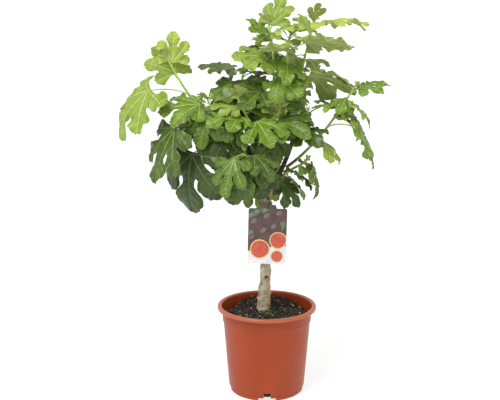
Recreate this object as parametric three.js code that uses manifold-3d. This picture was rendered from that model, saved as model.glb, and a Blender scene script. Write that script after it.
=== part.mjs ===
// A young fig tree in a moulded plastic nursery pot, with a picture label tied to its trunk.
// Units are millimetres and +Z is up. The origin is the middle of the pot's underside.
import * as THREE from "three";
import { mergeVertices } from "three/addons/utils/BufferGeometryUtils.js";
import Module from "manifold-3d";

const wasm = await Module();
wasm.setup();

// ---------------------------------------------------------------- driving dimensions

const GAP = 0.3; // clearance between two pieces that touch

const POT = {
  height: 215,
  rimRadius: 120, // outside of the rolled lip
  mouthRadius: 110, // inside of the lip
  lipHeight: 8,
  collarRadius: 108.5, // the band under the lip
  collarFoot: 178, // height at which the band ends
  bodyTopRadius: 105.5,
  bodyFootRadius: 92.5,
  footRadius: 90,
  footHeight: 12, // the floor stands this high on the foot ring
  footRound: 3,
  wall: 1.6,
  padRadius: 13, // the round foot under the middle of the floor
  segments: 36,
  drains: 4,
  notchWidth: 42, // gap in the foot ring below each drain
  notchHeight: 7.5,
  drainWidth: 17,
  drainTop: 21,
  drainDepth: 14, // how far each drain runs in from the wall
};

const SOIL = { level: 197, edgeDrop: 11, rings: 6, segments: 28, lump: 2.4 };

// The trunk's axis and radii from the soil up to its fork.
const TRUNK = {
  foot: [-9, 0, SOIL.level + GAP],
  top: [-1, 0, 505],
  sway: 2.5,
  footRadius: 17.5,
  waistRadius: 12.2,
  headRadius: 13.4,
  flareHeight: 62,
  sides: 12,
  rings: 15,
};

// Woody boughs: each is one tapering limb on a curve from the trunk to its tip.
const BOUGHS = {
  bough_right: { from: [1, 0, 486], bend: [38, 2, 548], tip: [61, 15, 618], radii: [6.3, 5] },
  bough_leader: { from: [-2, 1, 494], bend: [-10, 8, 566], tip: [-8, 10, 632], radii: [8.4, 6] },
  bough_left: { from: [-4, -2, 484], bend: [-34, -16, 566], tip: [-97, -18, 644], radii: [6.4, 4.6] },
  bough_front: { from: [-2, -3, 478], bend: [-6, -34, 528], tip: [-16, -58, 566], radii: [5.2, 4.2] },
  bough_back: { from: [0, 3, 480], bend: [16, 46, 540], tip: [28, 84, 622], radii: [6.2, 4.6] },
  bough_back_left: { from: [-3, 2, 490], bend: [-30, 44, 560], tip: [-68, 74, 640], radii: [5.6, 4.4] },
};
const BOUGH_SIDES = 8;
const BOUGH_RINGS = 7;

// Leafy shoots of this year's growth, each from a limb to its bud. Every list runs from a shoot's lowest
// leaf to its topmost: the azimuth each leaf heads for (0 is +X, 90 is +Y), and the lengths of blade and
// stalk and the pitch of the blade above the level, which may be given at fewer places. first is where
// along the shoot the lowest leaf sits, and light the azimuth that the upper faces turn to.
const SHOOTS = {
  left_high: {
    from: [-95, -18, 640], bend: [-176, 16, 690], tip: [-234, 12, 812], first: 0.6, light: 226,
    heads: [190, 160, 80, 340, 250], blade: [138, 88, 74, 74, 36], stalk: [94, 15, 24, 14, 8],
    pitch: [-40, 56, 76, 80, 60], tone: "young",
  },
  left_mid: {
    from: [-88, -18, 634], bend: [-112, -30, 664], tip: [-136, -30, 712], first: 0.25, light: 268,
    heads: [262, 322, 236, 176, 40, 216], blade: [96, 76, 84, 106, 40, 34], stalk: [26, 36, 26, 36, 10, 8],
    pitch: [-54, -44, -50, 4, 50, 58], tone: "mid",
  },
  left_low: {
    from: [-66, -15, 608], bend: [-120, -34, 636], tip: [-176, -44, 660], first: 0.2, light: 262,
    heads: [206, 264, 214], blade: [142, 84, 140], stalk: [70, 26, 42],
    pitch: [-74, -46, -60], tone: "dark",
  },
  top_mid: {
    from: [60, 15, 613], bend: [36, 36, 736], tip: [50, 8, 858], first: 0.54, light: 40,
    heads: [14, 238, 150, 344, 206, 60], blade: [120, 84, 88, 124, 64, 48],
    stalk: [46, 30, 34, 50, 18, 12], pitch: [-10, -10, 6, 3, 26, 54], tone: "young",
  },
  right: {
    from: [45, 4, 554], bend: [126, 0, 612], tip: [203, 0, 746], first: 0.44, light: 345,
    heads: [290, 350, 40, 340, 200, 350, 252, 356, 170], blade: [90, 104, 56, 62, 54, 70, 58, 74, 40],
    stalk: [12, 70, 16, 20, 16, 16, 12, 22, 10], pitch: [-4, -58, -10, -30, 0, -42, -24, 20, 44], tone: "mid",
  },
  top_right: {
    from: [61, 17, 614], bend: [66, 62, 740], tip: [110, 48, 892], first: 0.4, light: 90,
    heads: [150, 240, 64, 200, 246, 196, 106, 324, 300], blade: [80, 84, 84, 76, 76, 62, 64, 122, 46],
    stalk: [34, 30, 30, 24, 24, 14, 12, 32, 8], pitch: [-26, -30, -6, -16, -8, 30, 52, 20, 80], tone: "mid",
  },
  top: {
    from: [-8, 10, 628], bend: [32, -8, 752], tip: [1, 0, 892], first: 0.36, light: 270,
    heads: [196, 300, 344, 190, 284, 20, 120, 186, 348, 40, 250],
    blade: [92, 84, 90, 84, 80, 74, 60, 66, 62, 80, 40], stalk: [34, 30, 36, 28, 24, 22, 16, 14, 14, 10, 8],
    pitch: [-26, -20, -10, 12, 24, 16, 20, 42, 24, 66, 58], tone: "young",
  },
  centre_front: {
    from: [-5, 8, 622], bend: [10, -18, 648], tip: [26, -34, 690], first: 0.3, light: 270,
    heads: [290, 300, 20, 200, 280], blade: [78, 94, 76, 56, 40], stalk: [26, 18, 20, 14, 8],
    pitch: [-78, 6, 10, 30, 52], tone: "mid",
  },
  centre_left: {
    from: [-9, 9, 626], bend: [-38, -38, 652], tip: [-68, -50, 722], first: 0.2, light: 266,
    heads: [226, 318, 210, 350, 188, 70, 262], blade: [104, 92, 84, 60, 68, 58, 42],
    stalk: [30, 28, 28, 16, 12, 9, 8], pitch: [-52, -42, -26, 10, 34, 62, 58], tone: "young",
  },
  front_low: {
    from: [-15, -56, 564], bend: [-30, -76, 584], tip: [-54, -92, 600], first: 0.12, light: 270,
    heads: [284, 214, 264, 310, 236], blade: [72, 98, 88, 78, 90], stalk: [22, 32, 26, 28, 30],
    pitch: [-62, -60, -64, -44, -60], tone: "dark",
  },
  mid_right: {
    from: [59, 12, 604], bend: [78, 2, 646], tip: [96, 6, 692], first: 0.3, light: 280,
    heads: [306, 200, 14, 216], blade: [72, 72, 102, 60], stalk: [26, 26, 72, 18],
    pitch: [-30, -24, -20, 20], tone: "dark",
  },
  low_right: {
    from: [34, 2, 532], bend: [56, -22, 556], tip: [84, -32, 570], first: 0.3, light: 0,
    heads: [330, 304, 60, 2], blade: [62, 60, 50, 88], stalk: [20, 24, 20, 22],
    pitch: [-14, -26, -10, -72], tone: "mid",
  },
  low_back: {
    from: [-2, 6, 486], bend: [4, 34, 504], tip: [18, 56, 518], first: 0.3, light: 300,
    heads: [206, 322, 110, 20, 60], blade: [62, 74, 84, 70, 70], stalk: [26, 30, 26, 34, 20],
    pitch: [-54, -42, -52, -38, -40], tone: "mid",
  },
  back_left: {
    from: [-67, 73, 637], bend: [-64, 72, 724], tip: [-56, 48, 792], first: 0.24, light: 250,
    heads: [226, 300, 160, 250, 20, 180, 286, 90], blade: [104, 96, 96, 92, 84, 90, 70, 50],
    stalk: [40, 34, 38, 30, 30, 28, 16, 8], pitch: [-40, -34, -26, -18, -4, 16, 22, 48], tone: "dark",
  },
  left_back: {
    from: [-64, 71, 632], bend: [-108, 92, 654], tip: [-156, 90, 684], first: 0.3, light: 210,
    heads: [120, 236, 176, 100, 200, 262, 160], blade: [100, 104, 104, 90, 92, 80, 60],
    stalk: [36, 40, 42, 30, 34, 26, 12], pitch: [-48, -44, -40, -26, -24, -10, 20], tone: "dark",
  },
  back_mid: {
    from: [28, 83, 619], bend: [26, 110, 700], tip: [24, 104, 786], first: 0.22, light: 92,
    heads: [96, 210, 64, 150, 290, 20, 120, 230], blade: [104, 96, 92, 86, 82, 74, 64, 52],
    stalk: [38, 36, 30, 30, 24, 20, 12, 8], pitch: [-44, -30, -20, -12, 2, 16, 36, 50], tone: "mid",
  },
  back_right: {
    from: [25, 76, 602], bend: [44, 112, 640], tip: [46, 128, 696], first: 0.3, light: 60,
    heads: [84, 130, 170, 120, 70, 60], blade: [100, 88, 96, 88, 80, 54],
    stalk: [34, 34, 40, 30, 26, 10], pitch: [-14, -34, -30, -20, -8, 34], tone: "mid",
  },
  back_low: {
    from: [14, 44, 540], bend: [2, 88, 556], tip: [-22, 128, 572], first: 0.34, light: 110,
    heads: [132, 196, 110, 60, 160, 96], blade: [96, 100, 106, 92, 96, 84], stalk: [34, 36, 38, 30, 34, 24],
    pitch: [-54, -50, -52, -44, -42, -40], tone: "dark",
  },
};

// How a shoot and its leaves are made from the values above.
const SHOOT = { baseRadius: 3.9, tipRadius: 2.1, sides: 5, rings: 6, bud: 11, reach: 260 };
const JITTER = { azimuth: 7, pitch: 6, roll: 12, length: 0.06 };
const LIGHT = { low: 0.58, high: 0.24, rise: 0.5 }; // how far a face turns to it, lowest and topmost leaf
const CROWDED = 0.58; // under 1, a shoot's upper leaves sit closer together
const TURNS_TRIED = [0, 10, -10, 20, -20, 34, -34, 48, -48]; // degrees, until the leaf is clear
const TILTS_TRIED = [0, -12, 12, -26, 26];
const STALKS_TRIED = [1, 1.35];
const PETIOLE = { radius: 1.4, rise: 25, follow: 0.5, least: -16, most: 70, sides: 3, rings: 3, back: 0.05 };
const THREE_LOBES_UNDER = 60; // a shorter blade is young, and has three lobes
const FOLDED = 0.78; // a shoot's topmost leaf spreads its lobes by this much less

// A blade's lobes from its middle one outwards: the angle of each from the midrib, and its length and
// half width as shares of the blade's length. A sinus is the cleft between a lobe and the next.
const LOBES = [
  { angle: 0, length: 1, width: 0.215, end: 0.11, sinus: 0.5 },
  { angle: 40, length: 0.8, width: 0.19, end: 0.1, sinus: 0.34 },
  { angle: 88, length: 0.52, width: 0.15, end: 0.08, sinus: 0.05 },
];
const BLADE = { shoulder: 0.7, mid: 0.5, thick: 0.024, fold: 0.22, droop: 30, spare: 1.25 };

const LABEL = {
  width: 92,
  height: 136,
  thick: 0.9,
  corner: 5,
  bottom: 323,
  middle: [-1.5, -18.6], // x and y of the card's middle
  tabWidth: 40,
  tabHeight: 9,
  holeRadius: 3.4,
  holeBelowTop: 7,
  lean: 1.4, // degrees that it hangs out of upright
};
const TIE = { radius: 0.9, sides: 5, steps: 34, height: 466 };

const COLOURS = {
  plastic: 0xb4563a, soil: 0x37302a, bark: 0x998d75, bough: 0x5f5240,
  young: 0x9cba4a, mid: 0x6f9440, dark: 0x48662f, card: 0xe9e8e6, tie: 0x4d5a3c,
};

// ---------------------------------------------------------------- small helpers

const vec = (p) => new THREE.Vector3(...p);
const rad = THREE.MathUtils.degToRad;
const mix = THREE.MathUtils.lerp;
const UP = new THREE.Vector3(0, 0, 1);

// The mulberry32 generator: numbers from 0 to 1, always the same for one seed.
function randomFrom(seed) {
  let state = seed >>> 0;
  return () => {
    state = (state + 0x6d2b79f5) >>> 0;
    let t = Math.imul(state ^ (state >>> 15), state | 1);
    t = (t + Math.imul(t ^ (t >>> 7), t | 61)) ^ t;
    return ((t ^ (t >>> 14)) >>> 0) / 4294967296;
  };
}

// A closed geometry as a solid that can be joined and cut.
function solidOf(geometry) {
  const bare = new THREE.BufferGeometry().setAttribute("position", geometry.getAttribute("position"));
  if (geometry.index) bare.setIndex(geometry.index);
  const merged = mergeVertices(bare, 1e-4);
  return new wasm.Manifold(
    new wasm.Mesh({
      numProp: 3,
      vertProperties: new Float32Array(merged.attributes.position.array),
      triVerts: new Uint32Array(merged.index.array),
    }),
  );
}

// A solid's triangles as a geometry again.
function geometryOf(solid) {
  const mesh = solid.getMesh();
  return new THREE.BufferGeometry()
    .setAttribute("position", new THREE.BufferAttribute(mesh.vertProperties, 3))
    .setIndex(new THREE.BufferAttribute(mesh.triVerts, 1));
}

// The largest body of a solid, without loose scraps.
const largest = (solid) => solid.decompose().reduce((a, b) => (b.volume() > a.volume() ? b : a));

// A named mesh that stands at origin, from a solid made in the part's own frame.
function named(name, solid, colour, origin = [0, 0, 0], roughness = 0.7) {
  const geometry = geometryOf(solid).translate(...origin.map((c) => -c));
  geometry.computeVertexNormals();
  const material = new THREE.MeshStandardMaterial({ color: colour, roughness, metalness: 0 });
  const mesh = new THREE.Mesh(geometry, material);
  mesh.name = name;
  mesh.position.set(...origin);
  return mesh;
}

// A closed tapering tube on points, with a radius for each. across gives a ring's own outline, if it
// isn't round. A ring tube runs on from its last point to its first.
function tube(points, radii, sides, { across = () => 1, ring = false } = {}) {
  const count = points.length;
  const tangents = points.map((p, i) => {
    const next = ring ? points[(i + 1) % count] : points[Math.min(i + 1, count - 1)];
    const last = ring ? points[(i + count - 1) % count] : points[Math.max(i - 1, 0)];
    return next.clone().sub(last).normalize();
  });
  const side = new THREE.Vector3(1, 0, 0);
  if (Math.abs(tangents[0].x) > 0.9) side.set(0, 1, 0);
  const position = [];
  for (let i = 0; i < count; i++) {
    side.addScaledVector(tangents[i], -side.dot(tangents[i])).normalize();
    const other = tangents[i].clone().cross(side);
    for (let k = 0; k < sides; k++) {
      const angle = (2 * Math.PI * k) / sides;
      const r = radii[i] * across(i, angle);
      const at = points[i].clone();
      at.addScaledVector(side, r * Math.cos(angle)).addScaledVector(other, r * Math.sin(angle));
      position.push(at.x, at.y, at.z);
    }
  }
  const index = [];
  const joints = ring ? count : count - 1;
  for (let i = 0; i < joints; i++)
    for (let k = 0; k < sides; k++) {
      const a = i * sides + k;
      const b = i * sides + ((k + 1) % sides);
      const c = ((i + 1) % count) * sides + k;
      const d = ((i + 1) % count) * sides + ((k + 1) % sides);
      index.push(a, b, d, a, d, c);
    }
  if (!ring)
    for (let k = 1; k < sides - 1; k++) {
      const last = (count - 1) * sides;
      index.push(0, k + 1, k, last, last + k, last + k + 1);
    }
  const geometry = new THREE.BufferGeometry();
  geometry.setAttribute("position", new THREE.BufferAttribute(new Float32Array(position), 3));
  return geometry.setIndex(index);
}

// ---------------------------------------------------------------- the pot and its soil

// The pot's outline at the side, outside from the foot up to the lip and inside down to the floor.
function potProfile() {
  const { height, rimRadius, mouthRadius, lipHeight, wall, footHeight, footRadius, footRound } = POT;
  const { collarRadius, collarFoot, bodyTopRadius, bodyFootRadius, padRadius } = POT;
  const lipEdge = height - lipHeight;
  const lipRound = 3;
  const outside = [
    [padRadius, 0],
    [padRadius, footHeight],
    [footRadius - wall - footRound, footHeight],
    [footRadius - wall - footRound, 0],
    [footRadius - footRound, 0],
    [footRadius, footRound],
    [footRadius, footHeight],
    [bodyFootRadius, footHeight + 2],
    [bodyTopRadius, collarFoot - 3],
    [collarRadius - 1, collarFoot],
    [collarRadius + 1, height - wall - 1],
    [rimRadius - wall, height - wall - 1],
    [rimRadius - wall, lipEdge],
    [rimRadius, lipEdge],
    [rimRadius, height - lipRound],
    [rimRadius - lipRound, height],
    [mouthRadius + 1, height],
    [mouthRadius, height - 1],
  ];
  const inside = [
    [collarRadius - 1 - wall, collarFoot - 1],
    [bodyTopRadius - wall, collarFoot - 4],
    [bodyFootRadius - wall, footHeight + 3],
    [bodyFootRadius - wall - 2, footHeight + wall],
  ];
  return [[0, 0], ...outside, ...inside, [0, footHeight + wall]].map((p) => new THREE.Vector2(...p));
}

function makePot() {
  const { segments, drains, footRadius, notchWidth, notchHeight, drainWidth, drainTop, drainDepth } = POT;
  const turned = new THREE.LatheGeometry(potProfile(), segments);
  let pot = solidOf(turned.rotateX(Math.PI / 2));
  const cut = (width, depth, low, high, turn) => {
    const box = new THREE.BoxGeometry(depth * 2, width, high - low);
    box.translate(footRadius, 0, (low + high) / 2);
    return solidOf(box.rotateZ(turn));
  };
  for (let k = 0; k < drains; k++) {
    const turn = (2 * Math.PI * k) / drains - Math.PI / 2;
    pot = pot.subtract(cut(notchWidth, POT.footRound + POT.wall + 4, -1, notchHeight, turn));
    pot = pot.subtract(cut(drainWidth, drainDepth, notchHeight - 1, drainTop, turn));
  }
  return pot;
}

// The height of the soil: flat under the trunk, lumpy round it, and lower along the wall.
function soilHeight(x, y, edge, random) {
  const seat = Math.hypot(x - TRUNK.foot[0], y - TRUNK.foot[1]) < TRUNK.footRadius + 8;
  if (seat) return SOIL.level;
  return SOIL.level - SOIL.edgeDrop * edge ** 5 - SOIL.lump * random();
}

function makeSoil() {
  const { rings, segments } = SOIL;
  const inner = (z) => {
    const share = (z - POT.footHeight) / (POT.collarFoot - POT.footHeight);
    const body = mix(POT.bodyFootRadius, POT.bodyTopRadius, share);
    return body - POT.wall - 1.2;
  };
  const random = randomFrom(7);
  const floor = POT.footHeight + POT.wall + GAP;
  const position = [0, 0, SOIL.level];
  for (let r = 1; r <= rings; r++)
    for (let k = 0; k < segments; k++) {
      const angle = (2 * Math.PI * k) / segments;
      const radius = (inner(POT.collarFoot) * r) / rings;
      const [x, y] = [radius * Math.cos(angle), radius * Math.sin(angle)];
      position.push(x, y, soilHeight(x, y, r / rings, random));
    }
  const footRing = 1 + rings * segments;
  for (let k = 0; k < segments; k++) {
    const angle = (2 * Math.PI * k) / segments;
    const radius = inner(POT.footHeight) - 2.4;
    position.push(radius * Math.cos(angle), radius * Math.sin(angle), floor);
  }
  const under = footRing + segments;
  position.push(0, 0, floor);
  const index = [];
  for (let k = 0; k < segments; k++) {
    const next = (k + 1) % segments;
    index.push(0, 1 + k, 1 + next, under, footRing + next, footRing + k);
    for (let r = 0; r < rings; r++) {
      const a = 1 + r * segments;
      index.push(a + k, a + segments + k, a + segments + next, a + k, a + segments + next, a + next);
    }
  }
  const geometry = new THREE.BufferGeometry();
  geometry.setAttribute("position", new THREE.BufferAttribute(new Float32Array(position), 3));
  return solidOf(geometry.setIndex(index));
}

// ---------------------------------------------------------------- the wood

// The trunk's radius at a share of its height: a flared foot, a slim waist and a swollen fork.
function trunkRadius(share) {
  const rise = share * (TRUNK.top[2] - TRUNK.foot[2]);
  const flare = Math.exp(-((rise / TRUNK.flareHeight) ** 2));
  const head = THREE.MathUtils.smoothstep(share, 0.72, 0.96);
  const plain = mix(TRUNK.waistRadius, TRUNK.headRadius, head);
  return plain + (TRUNK.footRadius - TRUNK.waistRadius) * flare;
}

function trunkPoint(share) {
  const at = vec(TRUNK.foot).lerp(vec(TRUNK.top), share);
  at.x += TRUNK.sway * Math.sin(2 * Math.PI * share);
  return at;
}

// The trunk, grown by extra all round. It is cut flat where it stands on the soil.
function makeTrunk(extra = 0) {
  const shares = Array.from({ length: TRUNK.rings }, (_, i) => i / (TRUNK.rings - 1));
  const ridge = (i, angle) => 1 + 0.035 * Math.sin(3 * angle + 0.5 * i) + 0.02 * Math.sin(5 * angle - i);
  const points = shares.map(trunkPoint);
  points[0].z -= 4;
  const radii = shares.map((s) => trunkRadius(s) + extra);
  const stem = solidOf(tube(points, radii, TRUNK.sides, { across: ridge }));
  return stem.trimByPlane([0, 0, 1], TRUNK.foot[2]);
}

// A bough's or shoot's curve.
const curveOf = ({ from, bend, tip }) => new THREE.QuadraticBezierCurve3(vec(from), vec(bend), vec(tip));

// A bough, grown by extra all round and at its tip.
function makeBough(bough, extra = 0) {
  const points = curveOf(bough).getPoints(BOUGH_RINGS - 1);
  if (extra) {
    const end = points[points.length - 1];
    const back = points[points.length - 2];
    end.add(end.clone().sub(back).setLength(extra));
  }
  const radii = points.map((_, i) => mix(...bough.radii, i / (BOUGH_RINGS - 1)) + extra);
  return solidOf(tube(points, radii, BOUGH_SIDES));
}

// ---------------------------------------------------------------- the leaves

// The points of a blade's middle surface, in its own frame: u along the midrib and v across it, as
// shares of its length. Each lobe has a middle, a tip and two shoulders, with a sinus on either side.
function bladeOutline(leaf) {
  const lobes = leaf.length < THREE_LOBES_UNDER ? LOBES.slice(0, 2) : LOBES;
  const ray = (degrees, reach, aside = 0) => {
    const [c, s] = [Math.cos(rad(degrees)), Math.sin(rad(degrees))];
    return [reach * c - aside * s, reach * s + aside * c];
  };
  const order = [];
  for (let j = 1 - lobes.length; j < lobes.length; j++) order.push(j);
  return order.map((j) => {
    const lobe = lobes[Math.abs(j)];
    const angle = Math.sign(j) * lobe.angle * leaf.spread;
    const outer = lobes[Math.abs(j) + 1];
    const lobeGap = (side) => {
      const away = j === 0 || Math.sign(j) === side;
      const far = away ? outer : lobes[Math.abs(j) - 1];
      const cleft = away ? lobe.sinus : far.sinus;
      if (away && !outer) return ray(180, LOBES[2].sinus);
      const between = (lobe.angle + far.angle) / 2;
      return ray((j === 0 ? side : Math.sign(j)) * between * leaf.spread, cleft * leaf.cleft);
    };
    return {
      middle: ray(angle, lobe.length * BLADE.mid),
      tip: ray(angle, lobe.length),
      shoulders: [-1, 1].map((s) => ray(angle, lobe.length * BLADE.shoulder, s * lobe.width)),
      ends: [-1, 1].map((s) => ray(angle, lobe.length * 0.95, s * lobe.end)),
      sinuses: [lobeGap(-1), lobeGap(1)],
      width: lobe.width,
      end: lobe.end,
    };
  });
}

// A point of the blade in space: the flat shape bent down along every vein and folded up beside it.
function bladePoint(leaf, [u, v], lift = 0, offset = 0) {
  const reach = Math.hypot(u, v) * leaf.length;
  const bend = rad(leaf.droop) / leaf.length;
  const shrink = reach > 0 ? Math.sin(bend * reach) / (bend * reach) : 1;
  const sag = (Math.cos(bend * reach) - 1) / bend;
  return leaf.at
    .clone()
    .addScaledVector(leaf.along, u * leaf.length * shrink)
    .addScaledVector(leaf.across, v * leaf.length * shrink)
    .addScaledVector(leaf.face, sag + lift * leaf.length + offset);
}

// The blade as a thin closed solid, thickest along its veins. grow thickens it to test for room. Its
// stalk, if wanted, is one with it: the middle of its underside opens into the stalk's first ring.
function makeBlade(leaf, { grow = 1, stalk = false } = {}) {
  const half = (BLADE.thick * leaf.length * grow) / 2;
  const points = [];
  const add = (p) => points.push(p) - 1;
  const pair = (flat) => [half, -half].map((offset) => add(bladePoint(leaf, flat, 0, offset)));
  const rims = new Map();
  const rim = (flat, lift) => {
    const key = flat.map((c) => c.toFixed(6)).join();
    if (!rims.has(key)) rims.set(key, add(bladePoint(leaf, flat, lift)));
    return rims.get(key);
  };
  const centre = stalk ? [add(bladePoint(leaf, [0, 0], 0, half))] : pair([0, 0]);
  const index = [];
  const under = []; // the edge that the underside's middle fans out to, in order round it
  for (const lobe of bladeOutline(leaf)) {
    const middle = pair(lobe.middle);
    const tip = rim(lobe.tip, 0);
    const sides = [0, 1].map((s) => ({
      shoulder: rim(lobe.shoulders[s], leaf.fold * lobe.width),
      end: rim(lobe.ends[s], leaf.fold * lobe.end),
      sinus: rim(lobe.sinuses[s], leaf.fold * lobe.width * 0.8),
    }));
    under.push(sides[0].sinus, middle[1]);
    sides.forEach(({ shoulder, end, sinus }, s) => {
      for (const face of [0, 1]) {
        const m = middle[face];
        const corners = [[sinus, m, shoulder], [shoulder, m, end], [end, m, tip]];
        if (face === 0 || !stalk) corners.push([centre[face], m, sinus]);
        for (const [a, b, c] of corners) index.push(...(s === face ? [a, c, b] : [a, b, c]));
      }
    });
  }
  if (stalk) addStalk(leaf, under, points, index);
  return solidOf(new THREE.BufferGeometry().setFromPoints(points).setIndex(index));
}

// The stalk's curve, from the underside of the blade back to the stem.
function stalkCurve(leaf) {
  const under = bladePoint(leaf, [0, 0], 0, (-BLADE.thick * leaf.length) / 2);
  const heel = under.clone().addScaledVector(leaf.face, -PETIOLE.back * leaf.length);
  heel.addScaledVector(leaf.along, -PETIOLE.back * leaf.length);
  return new THREE.CubicBezierCurve3(under, heel, leaf.knee, leaf.node);
}

// The stalk by itself, to test for room.
function makeStalk(leaf) {
  const points = stalkCurve(leaf).getPoints(PETIOLE.rings - 1);
  return solidOf(tube(points, points.map(() => PETIOLE.radius), PETIOLE.sides));
}

// The stalk's rings, from the fan in the middle of the blade's underside to inside the stem.
function addStalk(leaf, under, points, index) {
  const { sides, rings, radius } = PETIOLE;
  const curve = stalkCurve(leaf);
  const spots = curve.getPoints(rings - 1);
  const ways = spots.map((_, i) => curve.getTangent(i / (rings - 1)));
  ways[0].copy(leaf.face).negate();
  const side = leaf.along.clone();
  const rows = spots.map((spot, i) => {
    side.addScaledVector(ways[i], -side.dot(ways[i])).normalize();
    const other = ways[i].clone().cross(side);
    return Array.from({ length: sides }, (_, k) => {
      const angle = (2 * Math.PI * k) / sides;
      const at = spot.clone().addScaledVector(side, radius * Math.cos(angle));
      return points.push(at.addScaledVector(other, radius * Math.sin(angle))) - 1;
    });
  });
  for (let i = 1; i < rings; i++)
    for (let k = 0; k < sides; k++) {
      const next = (k + 1) % sides;
      index.push(rows[i - 1][k], rows[i - 1][next], rows[i][next], rows[i - 1][k], rows[i][next], rows[i][k]);
    }
  const end = rows[rings - 1];
  for (let k = 1; k < sides - 1; k++) index.push(end[0], end[k], end[k + 1]);
  // Round the blade's middle, each point of the fan belongs to the nearest point of the first ring.
  const angleOf = (i) => {
    const off = points[i].clone().sub(leaf.at);
    return Math.atan2(off.dot(leaf.across), off.dot(leaf.along));
  };
  const turn = (angle) => THREE.MathUtils.euclideanModulo(angle, 2 * Math.PI);
  const ringAngles = rows[0].map(angleOf);
  const nearest = (i) => {
    const apart = ringAngles.map((angle) => Math.abs(Math.PI - turn(angle - angleOf(i) + Math.PI)));
    return apart.indexOf(Math.min(...apart));
  };
  under.forEach((point, i) => {
    const next = under[(i + 1) % under.length];
    const [a, b] = [nearest(point), nearest(next)];
    index.push(rows[0][a], next, point);
    const before = (k) => (k + sides - 1) % sides;
    for (let k = a; k !== b; k = before(k)) index.push(rows[0][k], rows[0][before(k)], next);
  });
}

// The value at a share of the way through a list, between its entries.
function through(list, share) {
  const place = share * (list.length - 1);
  const low = Math.min(Math.floor(place), list.length - 2);
  return mix(list[low], list[low + 1], place - low);
}

// The frame and sizes of a shoot's leaf number i. turned and tilted move it from its own place.
function leafOf(shoot, curve, number, i, [turned, tilted, stretched]) {
  const random = randomFrom(number * 100 + i + 1);
  const signed = (range) => (2 * random() - 1) * range;
  const share = i / (shoot.heads.length - 1);
  const height = mix(shoot.first, 0.98, share ** CROWDED);
  const azimuth = rad(shoot.heads[i] + signed(JITTER.azimuth) + turned);
  const degrees = through(shoot.pitch, share) + signed(JITTER.pitch) + tilted;
  const length = through(shoot.blade, share) * (1 + signed(JITTER.length));
  const stalk = through(shoot.stalk, share) * (1 + signed(JITTER.length)) * stretched;
  const roll = rad(signed(JITTER.roll));
  const climb = PETIOLE.rise + PETIOLE.follow * degrees;
  const rise = rad(THREE.MathUtils.clamp(climb, PETIOLE.least, PETIOLE.most));
  const pitch = rad(degrees);
  const out = new THREE.Vector3(Math.cos(azimuth), Math.sin(azimuth), 0);
  const node = curve.getPoint(height);
  const knee = curve.getTangent(height).add(out).setLength(stalk * 0.5).add(node);
  const at = node.clone().addScaledVector(out, stalk * Math.cos(rise));
  at.addScaledVector(UP, stalk * Math.sin(rise));
  const along = out.clone().multiplyScalar(Math.cos(pitch)).addScaledVector(UP, Math.sin(pitch));
  const face = UP.clone().multiplyScalar(Math.cos(pitch)).addScaledVector(out, -Math.sin(pitch));
  const light = rad(shoot.light);
  const sun = new THREE.Vector3(Math.cos(light), Math.sin(light), LIGHT.rise).normalize();
  face.lerp(sun, mix(LIGHT.low, LIGHT.high, share));
  face.addScaledVector(along, -face.dot(along)).normalize().applyAxisAngle(along, roll);
  return {
    node, knee, at, along, face, length,
    across: face.clone().cross(along),
    spread: (1 + signed(0.08)) * mix(1, FOLDED, share),
    cleft: 1 + signed(0.16),
    droop: BLADE.droop * (1 + signed(0.45)),
    fold: BLADE.fold * (1 + signed(0.6)),
  };
}

// The ways to place a leaf, the one with the least change first.
const WAYS_TRIED = STALKS_TRIED.flatMap((stretch) =>
  TURNS_TRIED.flatMap((turn) => TILTS_TRIED.map((tilt) => [turn, tilt, stretch])),
);
const changeOf = ([turn, tilt, stretch]) => Math.abs(turn) + Math.abs(tilt) + 40 * (stretch - 1);
WAYS_TRIED.sort((a, b) => changeOf(a) - changeOf(b));

// A shoot's stem up to its bud, grown by extra all round.
function makeStem(shoot, extra = 0) {
  const curve = curveOf(shoot);
  const points = curve.getPoints(SHOOT.rings - 1);
  const radii = points.map((_, i) => mix(SHOOT.baseRadius, SHOOT.tipRadius, i / (SHOOT.rings - 1)) + extra);
  points.push(curve.getTangent(1).setLength(SHOOT.bud + extra).add(vec(shoot.tip)));
  radii.push(SHOOT.tipRadius * 0.35 + extra);
  return solidOf(tube(points, radii, SHOOT.sides));
}

// Every shoot's stem, and the leaves on it that have room. A leaf that would meet a limb, a stem, the
// label or another leaf, or leave the shoot's own space, is turned a little, and left out if that fails.
function growShoots(limbs) {
  const names = Object.keys(SHOOTS);
  const stems = names.map((name) => {
    const shoot = SHOOTS[name];
    return { name, shoot, curve: curveOf(shoot), solid: makeStem(shoot), leaves: [] };
  });
  const taken = limbs.map((solid) => ({ solid, owner: null }));
  for (const stem of stems) taken.push({ solid: stem.solid, owner: stem.name });
  const free = (solid, skip = () => false) =>
    taken.every((other) => skip(other) || solid.intersect(other.solid).isEmpty());
  stems.forEach((stem, s) => {
    const middle = stem.curve.getPoint(0.5);
    for (let i = 0; i < stem.shoot.heads.length; i++)
      for (const way of WAYS_TRIED) {
        const leaf = leafOf(stem.shoot, stem.curve, s + 1, i, way);
        const wide = makeBlade(leaf, { grow: BLADE.spare });
        const box = wide.boundingBox();
        const far = Math.max(vec(box.min).distanceTo(middle), vec(box.max).distanceTo(middle));
        if (far > SHOOT.reach || !free(wide)) continue;
        const petiole = makeStalk(leaf);
        if (!free(petiole, (other) => other.owner === stem.name)) continue;
        stem.leaves.push(makeBlade(leaf, { stalk: true }));
        taken.push({ solid: wide, owner: null }, { solid: petiole, owner: stem.name });
        break;
      }
  });
  return stems;
}

// ---------------------------------------------------------------- the label

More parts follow.
